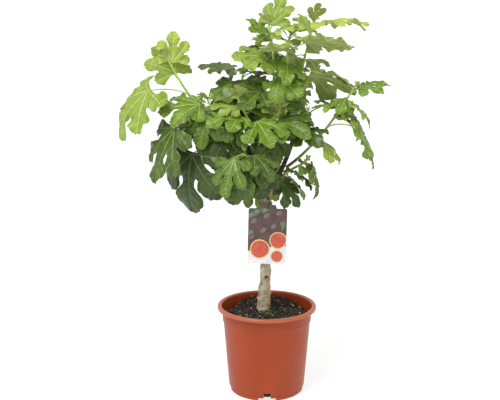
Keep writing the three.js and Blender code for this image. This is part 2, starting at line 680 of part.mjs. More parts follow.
// The card: a rounded sheet with a narrower tab at its top and a punched hole.
function makeCard() {
  const { width, height, corner, tabWidth, tabHeight, holeRadius, holeBelowTop, thick } = LABEL;
  const [w, t] = [width / 2, tabWidth / 2];
  const top = height + tabHeight;
  const sheet = new THREE.Shape();
  sheet.moveTo(corner - w, 0);
  sheet.lineTo(w - corner, 0).quadraticCurveTo(w, 0, w, corner);
  sheet.lineTo(w, height - corner).quadraticCurveTo(w, height, w - corner, height);
  sheet.lineTo(t, height).lineTo(t - corner, top).lineTo(corner - t, top).lineTo(-t, height);
  sheet.lineTo(corner - w, height).quadraticCurveTo(-w, height, -w, height - corner);
  sheet.lineTo(-w, corner).quadraticCurveTo(-w, 0, corner - w, 0);
  const hole = new THREE.Path().absarc(0, top - holeBelowTop, holeRadius, 0, 2 * Math.PI, true);
  sheet.holes.push(hole);
  const card = new THREE.ExtrudeGeometry(sheet, { depth: thick, bevelEnabled: false, curveSegments: 4 });
  card.rotateX(Math.PI / 2).rotateY(rad(LABEL.lean));
  return solidOf(card.translate(LABEL.middle[0], LABEL.middle[1] + thick / 2, LABEL.bottom));
}

// The loop that holds the card: round the back of the trunk, over the tab and back through its hole.
function makeTie() {
  const { radius, sides, steps, height } = TIE;
  const share = (height - TRUNK.foot[2]) / (TRUNK.top[2] - TRUNK.foot[2]);
  const axis = trunkPoint(share);
  const round = trunkRadius(share) * 1.055 + 4 * GAP + radius;
  const holeHeight = LABEL.bottom + LABEL.height + LABEL.tabHeight - LABEL.holeBelowTop;
  const holeTop = holeHeight + LABEL.holeRadius - radius - GAP;
  const hole = [LABEL.middle[0] + Math.sin(rad(LABEL.lean)) * (LABEL.height + 2), LABEL.middle[1]];
  const front = hole[1] - LABEL.thick / 2 - radius - GAP;
  const arc = (degrees) => [
    axis.x + round * Math.cos(rad(degrees)),
    axis.y + round * Math.sin(rad(degrees)),
    height + 8 * Math.max(0, Math.sin(rad(degrees))),
  ];
  const route = [
    arc(-45), arc(-15), arc(20), arc(55), arc(90), arc(125), arc(160), arc(195), arc(228),
    [hole[0] - 3, hole[1] + 2.6, holeTop - 0.4],
    [hole[0], hole[1], holeTop - 0.6],
    [hole[0] + 1.8, front - 1, holeTop + 1],
    [hole[0] + 3.2, front - 0.6, holeTop + 6],
    [hole[0] + 5.2, hole[1] - 0.4, holeTop + 10.2],
    [hole[0] + 9, hole[1] + 3.4, holeTop + 9],
  ];
  const loop = new THREE.CatmullRomCurve3(route.map(vec), true, "catmullrom", 0.5);
  const points = loop.getPoints(steps).slice(0, -1);
  return solidOf(tube(points, points.map(() => radius), sides, { ring: true }));
}

// ---------------------------------------------------------------- assembly

const tree = new THREE.Group();
const potted = new THREE.Group();
const wood = new THREE.Group();
const crown = new THREE.Group();
const tag = new THREE.Group();
tree.add(potted, wood, crown, tag);

const pot = makePot();
const soil = makeSoil();
potted.add(named("pot", pot, COLOURS.plastic, [0, 0, 0], 0.45));
potted.add(named("soil", soil, COLOURS.soil, [0, 0, 0], 0.95));

const trunk = makeTrunk();
wood.add(named("trunk", trunk, COLOURS.bark, TRUNK.foot, 0.85));

// Each bough is cut clear of the trunk and of the boughs before it.
const grown = { trunk: makeTrunk(GAP) };
const limbs = [trunk];
for (const [name, bough] of Object.entries(BOUGHS)) {
  let limb = makeBough(bough);
  for (const other of Object.values(grown)) limb = limb.subtract(other);
  limb = largest(limb);
  limbs.push(limb);
  grown[name] = makeBough(bough, GAP);
  wood.add(named(name, limb, COLOURS.bough, bough.from, 0.8));
}

const card = makeCard();
const tie = makeTie();
tag.add(named("label_card", card, COLOURS.card, [...LABEL.middle, LABEL.bottom], 0.35));
tag.add(named("label_tie", tie, COLOURS.tie, [...LABEL.middle, TIE.height], 0.6));

// A shoot is one solid: its stem, cut clear of the limbs and of other stems, with its leaves joined on.
for (const stem of growShoots([...limbs, pot, soil, card, tie])) {
  let clump = stem.solid;
  for (const other of Object.values(grown)) clump = clump.subtract(other);
  grown[stem.name] = makeStem(stem.shoot, GAP);
  clump = largest(wasm.Manifold.union([largest(clump), ...stem.leaves]));
  crown.add(named("foliage_" + stem.name, clump, COLOURS[stem.shoot.tone], stem.shoot.from, 0.6));
}

export default tree;
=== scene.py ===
"""Looks of a young fig tree in a moulded nursery pot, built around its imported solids.

Sizes are in millimetres and degrees until a mesh is made, which is in metres. Every class below is one
sub-assembly: it holds its sizes as fields and has the methods that build and dress its pieces.
"""

from __future__ import annotations

import logging
from collections.abc import Callable, Sequence
from dataclasses import dataclass, field, replace
from enum import Enum, IntEnum
from itertools import product
from math import acos, atan2, cos, degrees, exp, hypot, pi, radians, sin, sqrt, tan

import bpy
import numpy as np
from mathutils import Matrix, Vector, noise
from mathutils.geometry import tessellate_polygon
from mathutils.kdtree import KDTree

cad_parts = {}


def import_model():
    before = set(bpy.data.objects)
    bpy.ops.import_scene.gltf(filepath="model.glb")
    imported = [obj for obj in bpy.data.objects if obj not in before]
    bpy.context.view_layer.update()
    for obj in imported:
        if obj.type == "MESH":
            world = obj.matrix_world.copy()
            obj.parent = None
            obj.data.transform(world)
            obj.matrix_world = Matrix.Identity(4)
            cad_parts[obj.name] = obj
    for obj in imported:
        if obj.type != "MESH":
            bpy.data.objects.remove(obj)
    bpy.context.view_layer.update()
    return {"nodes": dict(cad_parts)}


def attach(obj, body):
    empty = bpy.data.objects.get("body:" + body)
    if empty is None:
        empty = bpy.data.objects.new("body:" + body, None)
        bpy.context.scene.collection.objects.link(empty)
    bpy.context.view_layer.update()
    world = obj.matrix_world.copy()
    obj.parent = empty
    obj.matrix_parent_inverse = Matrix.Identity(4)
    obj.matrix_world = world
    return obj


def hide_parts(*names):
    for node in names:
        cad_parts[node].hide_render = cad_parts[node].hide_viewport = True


MM = 0.001
WORD = 0xFFFFFFFF
BODY = "root"
UP = np.array([0.0, 0.0, 1.0])

Array = np.ndarray
Triple = tuple[float, float, float]
Material = bpy.types.Material
Mesh = bpy.types.Mesh
Piece = bpy.types.Object
Socket = bpy.types.NodeSocket
log = logging.getLogger("fig_tree")


# -------- small helpers


def mix(low: float, high: float, share: float) -> float:
    """Value at a share of the way from low to high."""
    return (1 - share) * low + share * high


def unit(v: Array) -> Array:
    """The direction of v."""
    return v / np.linalg.norm(v)


def level_way(azimuth: float) -> Array:
    """The level direction at an azimuth in radians."""
    return np.array([cos(azimuth), sin(azimuth), 0.0])


def smooth_step(low: float, high: float, value: float) -> float:
    """0 below low, 1 above high and a smooth rise between them."""
    share = min(max((value - low) / (high - low), 0.0), 1.0)
    return share * share * (3 - 2 * share)


def through(values: Sequence[float], share: float) -> float:
    """The value at a share of the way through a list, between its entries."""
    place = share * (len(values) - 1)
    low = min(int(place), len(values) - 2)
    return mix(values[low], values[low + 1], place - low)


def linear(colour: str) -> tuple[float, float, float, float]:
    """A colour written as RRGGBB in the values that shaders work in.

    Args:
        colour: six hexadecimal digits, as a screen shows the colour.

    Returns:
        Red, green, blue and an alpha of 1.
    """
    parts = [int(colour[i : i + 2], 16) / 255 for i in (0, 2, 4)]
    rgb = [p / 12.92 if p <= 0.04045 else ((p + 0.055) / 1.055) ** 2.4 for p in parts]
    return (*rgb, 1.0)


class Dice:
    """The mulberry32 generator: numbers from 0 to 1, always the same for one seed."""

    def __init__(self, seed: int) -> None:
        """Starts the row of numbers that belongs to seed."""
        self.state = seed & WORD

    def draw(self) -> float:
        """The next number."""
        self.state = (self.state + 0x6D2B79F5) & WORD
        t = ((self.state ^ (self.state >> 15)) * (self.state | 1)) & WORD
        t = ((t + (t ^ (t >> 7)) * (t | 61)) & WORD) ^ t
        return (t ^ (t >> 14)) / 4294967296

    def signed(self, limit: float) -> float:
        """A number from -limit to limit."""
        return (2 * self.draw() - 1) * limit

    def between(self, low: float, high: float) -> float:
        """A number from low to high."""
        return mix(low, high, self.draw())


@dataclass(frozen=True)
class Curve:
    """A quadratic curve from start towards bend to tip."""

    start: Triple
    bend: Triple
    tip: Triple

    def point(self, share: float) -> Array:
        """The point at a share of the curve's parameter."""
        a, b, c = (np.array(p, float) for p in (self.start, self.bend, self.tip))
        return (1 - share) ** 2 * a + 2 * (1 - share) * share * b + share * share * c

    def tangent(self, share: float) -> Array:
        """The direction at a share of the curve's parameter."""
        step = 1e-4
        return unit(self.point(min(share + step, 1)) - self.point(max(share - step, 0)))


def smooth_route(points: Sequence[Sequence[float]], steps: int, ring: bool = False) -> Array:
    """A smooth line through points.

    Args:
        points: the points that the line passes through.
        steps: how many steps it takes from each point to the next.
        ring: whether it runs on from the last point to the first.

    Returns:
        The line's points, one to a row.
    """
    given = np.array(points, float)
    count = len(given)
    spans = count if ring else count - 1
    made = []
    for i in range(spans):
        if ring:
            a, b, c, d = (given[(i + k) % count] for k in (-1, 0, 1, 2))
        else:
            b, c = given[i], given[i + 1]
            a = given[i - 1] if i else 2 * b - c
            d = given[i + 2] if i + 2 < count else 2 * c - b
        for t in np.arange(steps) / steps:
            square = 2 * a - 5 * b + 4 * c - d
            made.append(0.5 * (2 * b + (c - a) * t + square * t**2 + (3 * b - 3 * c + d - a) * t**3))
    if not ring:
        made.append(given[-1])
    return np.array(made)


def on_line(line: Array, far: Array, at: Array) -> Array:
    """Points of a flat line at distances at along it, where far has the distances of its own points."""
    return np.stack([np.interp(at, far, line[:, 0]), np.interp(at, far, line[:, 1])], 1)


# -------- meshes


class MeshBag:
    """Points and faces gathered for one piece, with a finish for each face."""

    def __init__(self) -> None:
        """Starts empty."""
        self.points: list[Array] = []
        self.faces: list[Array] = []
        self.slots: list[Array] = []
        self.finishes: list[Material] = []
        self.count = 0

    def slot(self, finish: Material) -> int:
        """The slot number of a finish, which is added if it is new."""
        if finish not in self.finishes:
            self.finishes.append(finish)
        return self.finishes.index(finish)

    def add(self, points: Array, faces: Array, finish: Material) -> None:
        """Adds points in millimetres and the faces between them.

        Args:
            points: one point to a row.
            faces: point numbers, three or four to a row. A row's last number is -1 on a triangle.
            finish: the material of these faces.
        """
        self.add_dressed(points, faces, np.full(len(faces), self.slot(finish)))

    def add_dressed(self, points: Array, faces: Array, slots: Array) -> None:
        """As add, with a slot number for each face."""
        if faces.shape[1] == 3:
            faces = np.hstack([faces, np.full((len(faces), 1), -1)])
        moved = np.where(faces >= 0, faces + self.count, -1)
        self.points.append(points)
        self.faces.append(moved)
        self.slots.append(slots)
        self.count += len(points)

    def mesh(self, name: str, sharp: float = 50.0) -> Mesh:
        """The gathered faces as a smooth shaded mesh in metres.

        Args:
            name: the mesh's name.
            sharp: faces that meet at more than this angle keep a sharp edge.

        Returns:
            The mesh, with its finishes in their slots.
        """
        points = np.vstack(self.points) * MM
        faces = np.vstack(self.faces)
        corners = np.where(faces[:, 3] < 0, 3, 4)
        mesh = bpy.data.meshes.new(name)
        mesh.vertices.add(len(points))
        mesh.vertices.foreach_set("co", points.astype(np.float32).ravel())
        loops = faces.ravel()[faces.ravel() >= 0]
        mesh.loops.add(len(loops))
        mesh.loops.foreach_set("vertex_index", loops.astype(np.int32))
        mesh.polygons.add(len(faces))
        starts = np.concatenate([[0], np.cumsum(corners)[:-1]])
        mesh.polygons.foreach_set("loop_start", starts.astype(np.int32))
        mesh.polygons.foreach_set("material_index", np.concatenate(self.slots).astype(np.int32))
        for finish in self.finishes:
            mesh.materials.append(finish)
        mesh.update(calc_edges=True)
        mesh.validate()
        shade(mesh, sharp)
        return mesh


def shade(mesh: Mesh, sharp: float) -> None:
    """Shades a mesh smooth, with sharp edges where faces meet at more than the angle sharp."""
    mesh.polygons.foreach_set("use_smooth", np.ones(len(mesh.polygons), bool))
    mesh.set_sharp_from_angle(angle=radians(sharp))


def show(name: str, mesh: Mesh, nodes: Sequence[str]) -> None:
    """Makes a piece of the tree, which rides on the body, from a mesh.

    Args:
        name: the piece's name.
        mesh: its mesh, in place.
        nodes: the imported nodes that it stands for.
    """
    piece = linked(name, mesh)
    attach(piece, BODY)
    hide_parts(*nodes)
    log.info("%s: %d faces", name, len(mesh.polygons))


def linked(name: str, data: bpy.types.ID) -> Piece:
    """A new object in the scene, with its mesh, light or camera."""
    made = bpy.data.objects.new(name, data)
    bpy.context.scene.collection.objects.link(made)
    return made


def applied(made: Piece) -> Mesh:
    """The mesh that an object's modifiers give. The object is removed."""
    graph = bpy.context.evaluated_depsgraph_get()
    mesh = bpy.data.meshes.new_from_object(made.evaluated_get(graph))
    bpy.data.objects.remove(made)
    return mesh


def grid_faces(rows: int, columns: int, ring: bool) -> Array:
    """Four-cornered faces between rows of points.

    Args:
        rows: how many rows there are.
        columns: how many points each row has.
        ring: whether a row's last point joins its first.

    Returns:
        The faces, whose outside is on the right of a row seen from the next one.
    """
    spans = columns if ring else columns - 1
    i, k = np.meshgrid(np.arange(rows - 1), np.arange(spans), indexing="ij")
    i, k = i.ravel(), k.ravel()
    n = (k + 1) % columns
    return np.stack([i * columns + k, i * columns + n, (i + 1) * columns + n, (i + 1) * columns + k], 1)


def fan(hub: int, start: int, count: int, flip: bool = False) -> Array:
    """Triangles from point hub to the ring of count points from start on, turned over if flip is set."""
    k = np.arange(count)
    a, b = start + k, start + (k + 1) % count
    if flip:
        a, b = b, a
    return np.stack([np.full(count, hub), a, b, np.full(count, -1)], 1)


def closed_faces(rows: int, count: int) -> Array:
    """Faces round closed rows of points, with the two points that follow them as hubs of the ends."""
    size = rows * count
    ends = [fan(size, 0, count, flip=True), fan(size + 1, size - count, count)]
    return np.vstack([grid_faces(rows, count, True), *ends])


def tube(
    points: Array,
    radii: Sequence[float],
    sides: int,
    ring: bool = False,
    across: Callable[[int, float], float] | None = None,
) -> tuple[Array, Array]:
    """A closed round tube along points.

    Args:
        points: the points of its middle line.
        radii: its radius at each of them.
        sides: how many sides it has.
        ring: whether it closes on itself.
        across: gives a factor on the radius from a ring's number and the angle round it.

    Returns:
        Its points and its faces.
    """
    count = len(points)
    if ring:
        ways = np.roll(points, -1, 0) - np.roll(points, 1, 0)
    else:
        numbers = np.arange(count)
        ways = points[np.minimum(numbers + 1, count - 1)] - points[np.maximum(numbers - 1, 0)]
    ways = ways / np.linalg.norm(ways, axis=1)[:, None]
    side = np.array([0.0, 1.0, 0.0]) if abs(ways[0][0]) > 0.9 else np.array([1.0, 0.0, 0.0])
    angles = 2 * np.pi * np.arange(sides) / sides
    rows = []
    for i in range(count):
        side = unit(side - ways[i] * side.dot(ways[i]))
        other = np.cross(ways[i], side)
        r = np.full(sides, float(radii[i]))
        if across:
            r *= [across(i, a) for a in angles]
        rows.append(points[i] + np.outer(r * np.cos(angles), side) + np.outer(r * np.sin(angles), other))
    made = np.vstack(rows)
    if ring:
        return made, grid_faces(count + 1, sides, True) % (count * sides)
    return np.vstack([made, points[:1], points[-1:]]), closed_faces(count, sides)


# -------- finishes


class Board:
    """A material's nodes, with short calls to add and join them."""

    def __init__(self, name: str) -> None:
        """Starts a material with its usual shader."""
        self.material = bpy.data.materials.new(name)
        self.material.use_nodes = True
        self.tree = self.material.node_tree
        self.shader = self.tree.nodes["Principled BSDF"]
        self.place = self.tree.nodes.new("ShaderNodeTexCoord").outputs["Object"]

    def set(self, **values: float | tuple) -> None:
        """Sets the shader's own sockets. An underscore in a name stands for a space."""
        for name, value in values.items():
            self.shader.inputs[name.replace("_", " ")].default_value = value

    def add(self, kind: str, **values: float | tuple) -> bpy.types.Node:
        """Adds a node and sets its sockets. An underscore in a name stands for a space."""
        node = self.tree.nodes.new(f"ShaderNode{kind}")
        for name, value in values.items():
            node.inputs[name.replace("_", " ")].default_value = value
        return node

    def join(self, source: Socket, target: Socket) -> None:
        """Leads the value of one socket into another."""
        self.tree.links.new(source, target)

    def stretched(self, x: float, y: float, z: float) -> Socket:
        """The place in metres, with each direction scaled."""
        node = self.add("Mapping", Scale=(x, y, z))
        self.join(self.place, node.inputs["Vector"])
        return node.outputs["Vector"]

    def noise(
        self, scale: float, detail: float = 3.0, rough: float = 0.55, at: Socket | None = None
    ) -> Socket:
        """A cloudy pattern with that many clouds to the metre."""
        node = self.add("TexNoise", Scale=scale, Detail=detail, Roughness=rough)
        self.join(at or self.place, node.inputs["Vector"])
        return node.outputs["Fac"]

    def cells(self, scale: float) -> Socket:
        """Distance to the edges of cells of which there are scale to the metre."""
        node = self.add("TexVoronoi", Scale=scale)
        node.feature = "DISTANCE_TO_EDGE"
        self.join(self.place, node.inputs["Vector"])
        return node.outputs["Distance"]

    def ramp(self, source: Socket, *stops: tuple[float, str]) -> Socket:
        """Colours by a pattern's value, from pairs of a value and a colour."""
        node = self.add("ValToRGB")
        marks = node.color_ramp.elements
        while len(marks) < len(stops):
            marks.new(0.5)
        for mark, (value, colour) in zip(marks, stops):
            mark.position = value
            mark.color = linear(colour)
        self.join(source, node.inputs["Fac"])
        return node.outputs["Color"]

    def level(self, source: Socket, low: float, high: float) -> Socket:
        """A pattern's value, brought from the span low to high to the span 0 to 1."""
        node = self.add("MapRange", From_Min=low, From_Max=high)
        self.join(source, node.inputs["Value"])
        return node.outputs["Result"]

    def blend(self, share: Socket, a: Socket | str, b: Socket | str) -> Socket:
        """A mix of two colours, each a socket or a colour's digits."""
        node = self.add("Mix")
        node.data_type = "RGBA"
        self.join(share, node.inputs[0])
        for socket, source in ((node.inputs[6], a), (node.inputs[7], b)):
            if isinstance(source, str):
                socket.default_value = linear(source)
            else:
                self.join(source, socket)
        return node.outputs[2]

    def colour(self, source: Socket) -> None:
        """Colours the surface by a pattern."""
        self.join(source, self.shader.inputs["Base Color"])

    def roughness(self, source: Socket, low: float, high: float) -> None:
        """Lets a pattern move the roughness between low and high."""
        node = self.add("MapRange", To_Min=low, To_Max=high)
        self.join(source, node.inputs["Value"])
        self.join(node.outputs["Result"], self.shader.inputs["Roughness"])

    def bump(self, strength: float, depth: float, *sources: Socket) -> None:
        """Raises the surface by patterns, each on top of the last.

        Args:
            strength: how much of the relief shows.
            depth: its height in millimetres.
            sources: the patterns.
        """
        last = None
        for source in sources:
            node = self.add("Bump", Strength=strength, Distance=depth * MM)
            self.join(source, node.inputs["Height"])
            if last:
                self.join(last, node.inputs["Normal"])
            last = node.outputs["Normal"]
        self.join(last, self.shader.inputs["Normal"])

    def lets_light_through(self, colour: str, share: float) -> None:
        """Mixes in the light that falls on the surface's other side, as a leaf does."""
        glow = self.add("BsdfTranslucent", Color=linear(colour))
        both = self.add("MixShader")
        both.inputs[0].default_value = share
        self.join(self.shader.outputs[0], both.inputs[1])
        self.join(glow.outputs[0], both.inputs[2])
        self.join(both.outputs[0], self.tree.nodes["Material Output"].inputs["Surface"])


@dataclass(frozen=True)
class LeafFinish:
    """Living leaf: one side of the blade."""

    name: str
    light: str  # the colour of the lighter patches
    deep: str  # and of the darker ones
    glow: str  # the colour of light that comes through
    through: float = 0.3
    gloss: float = 0.42
    shine: float = 0.3

    def material(self) -> Material:
        """Soft patches of two greens, a fine net of veinlets and a soft sheen."""
        board = Board(self.name)
        patches = board.level(board.noise(38, 3), 0.35, 0.65)
        net = board.cells(330)
        board.colour(board.blend(patches, self.deep, self.light))
        board.set(Roughness=self.gloss, Specular_IOR_Level=self.shine)
        board.bump(0.32, 0.25, net, board.noise(110, 3))
        board.lets_light_through(self.glow, self.through)
        return board.material


@dataclass(frozen=True)
class VeinFinish:
    """The pale ribs of a leaf."""

    name: str
    colour: str
    glow: str
    through: float = 0.15

    def material(self) -> Material:
        """A smooth pale rib."""
        board = Board(self.name)
        board.set(Base_Color=linear(self.colour), Roughness=0.5)
        board.lets_light_through(self.glow, self.through)
        return board.material


@dataclass(frozen=True)
class SkinFinish:
    """The skin of green shoots and leaf stalks, with faint length-wise streaks."""

    name: str
    light: str
    deep: str
    gloss: float = 0.45

    def material(self) -> Material:
        """Streaks of two near colours over a fine grain."""
        board = Board(self.name)
        patches = board.level(board.noise(90, 3, at=board.stretched(1, 1, 0.3)), 0.35, 0.65)
        board.colour(board.blend(patches, self.deep, self.light))
        board.set(Roughness=self.gloss, Subsurface_Weight=0.08, Subsurface_Scale=0.002)
        board.bump(0.3, 0.2, board.noise(700, 3))
        return board.material


@dataclass(frozen=True)
class BarkFinish:
    """Bark in three shades, with lichen patches, cross lines and fine cracks along the limb."""

    name: str
    pale: str
    middle: str
    dark: str
    crack: str
    patch: float = 60.0

    def material(self) -> Material:
        """Mottled, lined and cracked bark."""
        board = Board(self.name)
        mottle = board.noise(self.patch, 5, 0.62, board.stretched(1, 1, 0.7))
        base = board.ramp(mottle, (0.3, self.dark), (0.5, self.middle), (0.7, self.pale))
        lines = board.noise(260, 3, 0.6, board.stretched(0.35, 0.35, 1.6))
        cracks = board.noise(420, 4, 0.7, board.stretched(1.3, 1.3, 0.22))
        lined = board.blend(board.level(lines, 0.6, 0.72), base, self.dark)
        board.colour(board.blend(board.level(cracks, 0.62, 0.74), lined, self.crack))
        board.set(Roughness=0.82, Specular_IOR_Level=0.3)
        board.bump(0.6, 0.6, cracks, lines)
        return board.material


@dataclass(frozen=True)
class PlasticFinish:
    """Moulded plastic, satin on the outside."""

    name: str
    light: str
    deep: str
    low_gloss: float = 0.34
    high_gloss: float = 0.5
    shine: float = 0.34

    def material(self) -> Material:
        """Faint flow clouds, scuffs in the gloss and a fine grain."""
        board = Board(self.name)
        clouds = board.noise(9, 3, 0.5, board.stretched(1, 1, 0.35))
        board.colour(board.blend(board.level(clouds, 0.35, 0.65), self.deep, self.light))
        board.roughness(board.noise(60, 4), self.low_gloss, self.high_gloss)
        board.set(Specular_IOR_Level=self.shine)
        board.bump(0.12, 0.15, board.noise(900, 2))
        return board.material


@dataclass(frozen=True)
class EarthFinish:
    """Potting compost and what lies in it."""

    name: str
    light: str
    deep: str
    grain: float = 300.0
    gloss: float = 0.9

    def material(self) -> Material:
        """Coarse grains of two shades."""
        board = Board(self.name)
        grain = board.noise(self.grain, 5, 0.7)
        board.colour(board.blend(board.level(grain, 0.4, 0.6), self.deep, self.light))
        board.set(Roughness=self.gloss, Specular_IOR_Level=0.35)
        board.bump(0.9, 1.2, grain)
        return board.material


@dataclass(frozen=True)
class PrintFinish:
    """Ink on the glossy card."""

    name: str
    light: str
    deep: str
    grain: float = 160.0
    gloss: float = 0.28

    def material(self) -> Material:
        """A printed tone with soft clouds under the gloss."""
        board = Board(self.name)
        clouds = board.level(board.noise(self.grain, 3), 0.35, 0.65)
        board.colour(board.blend(clouds, self.deep, self.light))
        board.set(Roughness=self.gloss, Specular_IOR_Level=0.5)
        return board.material


# -------- pot and compost


@dataclass
class Pot:
    """A tapered nursery pot with a rolled lip, a collar band and a notched foot ring."""

    height: float = 215
    rim_radius: float = 120
    mouth_radius: float = 110
    lip_height: float = 8
    collar_radius: float = 108.5
    collar_foot: float = 178
    body_top_radius: float = 105.5
    body_foot_radius: float = 92.5
    foot_radius: float = 90
    foot_height: float = 12
    foot_round: float = 3
    wall: float = 1.6
    pad_radius: float = 13
    collar_slant: float = 1  # the collar's foot stands in and its top out by this
    segments: int = 168
    corner_steps: int = 4
    sharp: float = 38
    drains: int = 4
    notch_width: float = 42
    notch_height: float = 7.5
    notch_depth: float = 8.6
    drain_width: float = 17
    drain_top: float = 21
    drain_depth: float = 14
    finish: PlasticFinish = PlasticFinish("terracotta_plastic", "9d3d12", "91350e")
    # The lip is glossier than the body. Its lighter colour is a painted highlight where the rolled rim
    # catches the light.
    lip_gloss_and_painted_highlight: PlasticFinish = PlasticFinish("terracotta_lip_painted_highlight", "ab5220", "9f481a", 0.28, 0.42, 0.7)

    def corners(self) -> list[tuple[float, float, float]]:
        """The outline at the side: radius, height and the rounding of each corner."""
        lip_edge = self.height - self.lip_height
        ring = self.foot_radius - self.wall - self.foot_round
        under_lip = self.height - self.wall - 1
        return [
            (self.pad_radius, 0, 1.5),
            (self.pad_radius, self.foot_height, 1.5),
            (ring, self.foot_height, 1),
            (ring, 0, 1),
            (self.foot_radius - self.foot_round, 0, 1),
            (self.foot_radius, self.foot_round, 1.5),
            (self.foot_radius, self.foot_height, 1),
            (self.body_foot_radius, self.foot_height + 2, 2),
            (self.body_top_radius, self.collar_foot - 3, 2),
            (self.collar_radius - self.collar_slant, self.collar_foot, 1.5),
            (self.collar_radius + self.collar_slant, under_lip, 1),
            (self.rim_radius - self.wall, under_lip, 1.2),
            (self.rim_radius - self.wall, lip_edge, 0.6),
            (self.rim_radius, lip_edge, 0.8),
            (self.rim_radius, self.height, 4.2),
            (self.mouth_radius, self.height, 3.2),
            (self.collar_radius - self.collar_slant - self.wall, self.collar_foot - 1, 3),
            (self.body_top_radius - self.wall, self.collar_foot - 4, 3),
            (self.body_foot_radius - self.wall, self.foot_height + 3, 2),
            (self.body_foot_radius - self.wall - 2, self.foot_height + self.wall, 1),
        ]

    def outline(self) -> Array:
        """The outline with rounded corners, from the axis below to the axis above the floor."""
        marks = [(0, 0, 0), *self.corners(), (0, self.foot_height + self.wall, 0)]
        flat = np.array([m[:2] for m in marks], float)
        made = [flat[0]]
        for i in range(1, len(marks) - 1):
            before, after = flat[i - 1] - flat[i], flat[i + 1] - flat[i]
            turn = acos(float(np.clip(unit(before).dot(unit(after)), -1, 1)))
            room = [np.linalg.norm(side) * 0.45 for side in (before, after)]
            reach = min(marks[i][2] / tan(turn / 2), *room)
            a, c = flat[i] + unit(before) * reach, flat[i] + unit(after) * reach
            for t in np.linspace(0, 1, self.corner_steps + 1):
                made.append((1 - t) ** 2 * a + 2 * t * (1 - t) * flat[i] + t * t * c)
        made.append(flat[-1])
        return np.array(made)

    def turned(self) -> Mesh:
        """The pot before its drains are cut."""
        outline = self.outline()
        angles = 2 * np.pi * np.arange(self.segments) / self.segments
        ring = np.stack([np.cos(angles), np.sin(angles), np.ones(self.segments)], 1)
        rows = [ring * [r, r, z] for r, z in outline[1:-1]]
        points = np.vstack([*rows, [[0, 0, outline[0][1]]], [[0, 0, outline[-1][1]]]])
        faces = closed_faces(len(rows), self.segments)
        first = points[faces[:, 0]]
        far_out = np.hypot(first[:, 0], first[:, 1]) > self.mouth_radius
        on_lip = (first[:, 2] > self.height - self.lip_height) & far_out
        bag = MeshBag()
        body, lip = bag.slot(self.finish.material()), bag.slot(self.lip_gloss_and_painted_highlight.material())
        # Faces on the outer lip take the lighter finish: a painted highlight along the rim.
        bag.add_dressed(points, faces, np.where(on_lip, lip, body))
        return bag.mesh("pot")

    def drain_ways(self) -> list[tuple[Array, Array]]:
        """The directions out of the pot and along its wall at each drain, the one in front first."""
        outward = [level_way(2 * pi * i / self.drains - pi / 2) for i in range(self.drains)]
        return [(out, np.array([-out[1], out[0], 0.0])) for out in outward]

    def cutter(self) -> Mesh:
        """The blocks that open the notches in the foot ring and the drains above them."""
        bag = MeshBag()
        plain = Board("cut").material
        blocks = [
            (self.notch_width, self.notch_depth, -1.0, self.notch_height),
            (self.drain_width, self.drain_depth, self.notch_height - 1, self.drain_top),
        ]
        faces = np.array([[0, 3, 2, 1], [4, 5, 6, 7], [0, 1, 5, 4], [1, 2, 6, 5], [2, 3, 7, 6], [3, 0, 4, 7]])
        for out, side in self.drain_ways():
            for width, depth, low, high in blocks:
                half = width / 2
                flat = [(-depth, -half), (depth, -half), (depth, half), (-depth, half)]
                flat = [out * (self.foot_radius + a) + side * b for a, b in flat]
                bag.add(np.array([p + UP * z for z in (low, high) for p in flat]), faces, plain)
        return bag.mesh("cutter")

    def build(self) -> None:
        """Turns the pot, opens its drains and shows it."""
        made = linked("pot_turned", self.turned())
        tool = linked("pot_cutter", self.cutter())
        cut = made.modifiers.new("drains", "BOOLEAN")
        cut.operation = "DIFFERENCE"
        cut.solver = "EXACT"
        cut.use_self = True
        cut.object = tool
        mesh = applied(made)
        bpy.data.objects.remove(tool)
        shade(mesh, self.sharp)
        show("nursery_pot", mesh, ["pot"])


@dataclass(frozen=True)
class Mound:
    """A rise or a hollow in the compost: its height, where its middle is and how far it reaches."""

    rise: float
    x: float
    y: float
    wide: float
    deep: float
    power: int = 2  # a higher one makes its top flatter from side to side

    def at(self, x: float, y: float) -> float:
        """Its height at a place."""
        across, back = (x - self.x) / self.wide, (y - self.y) / self.deep
        return self.rise * exp(-(across**self.power + back**2))


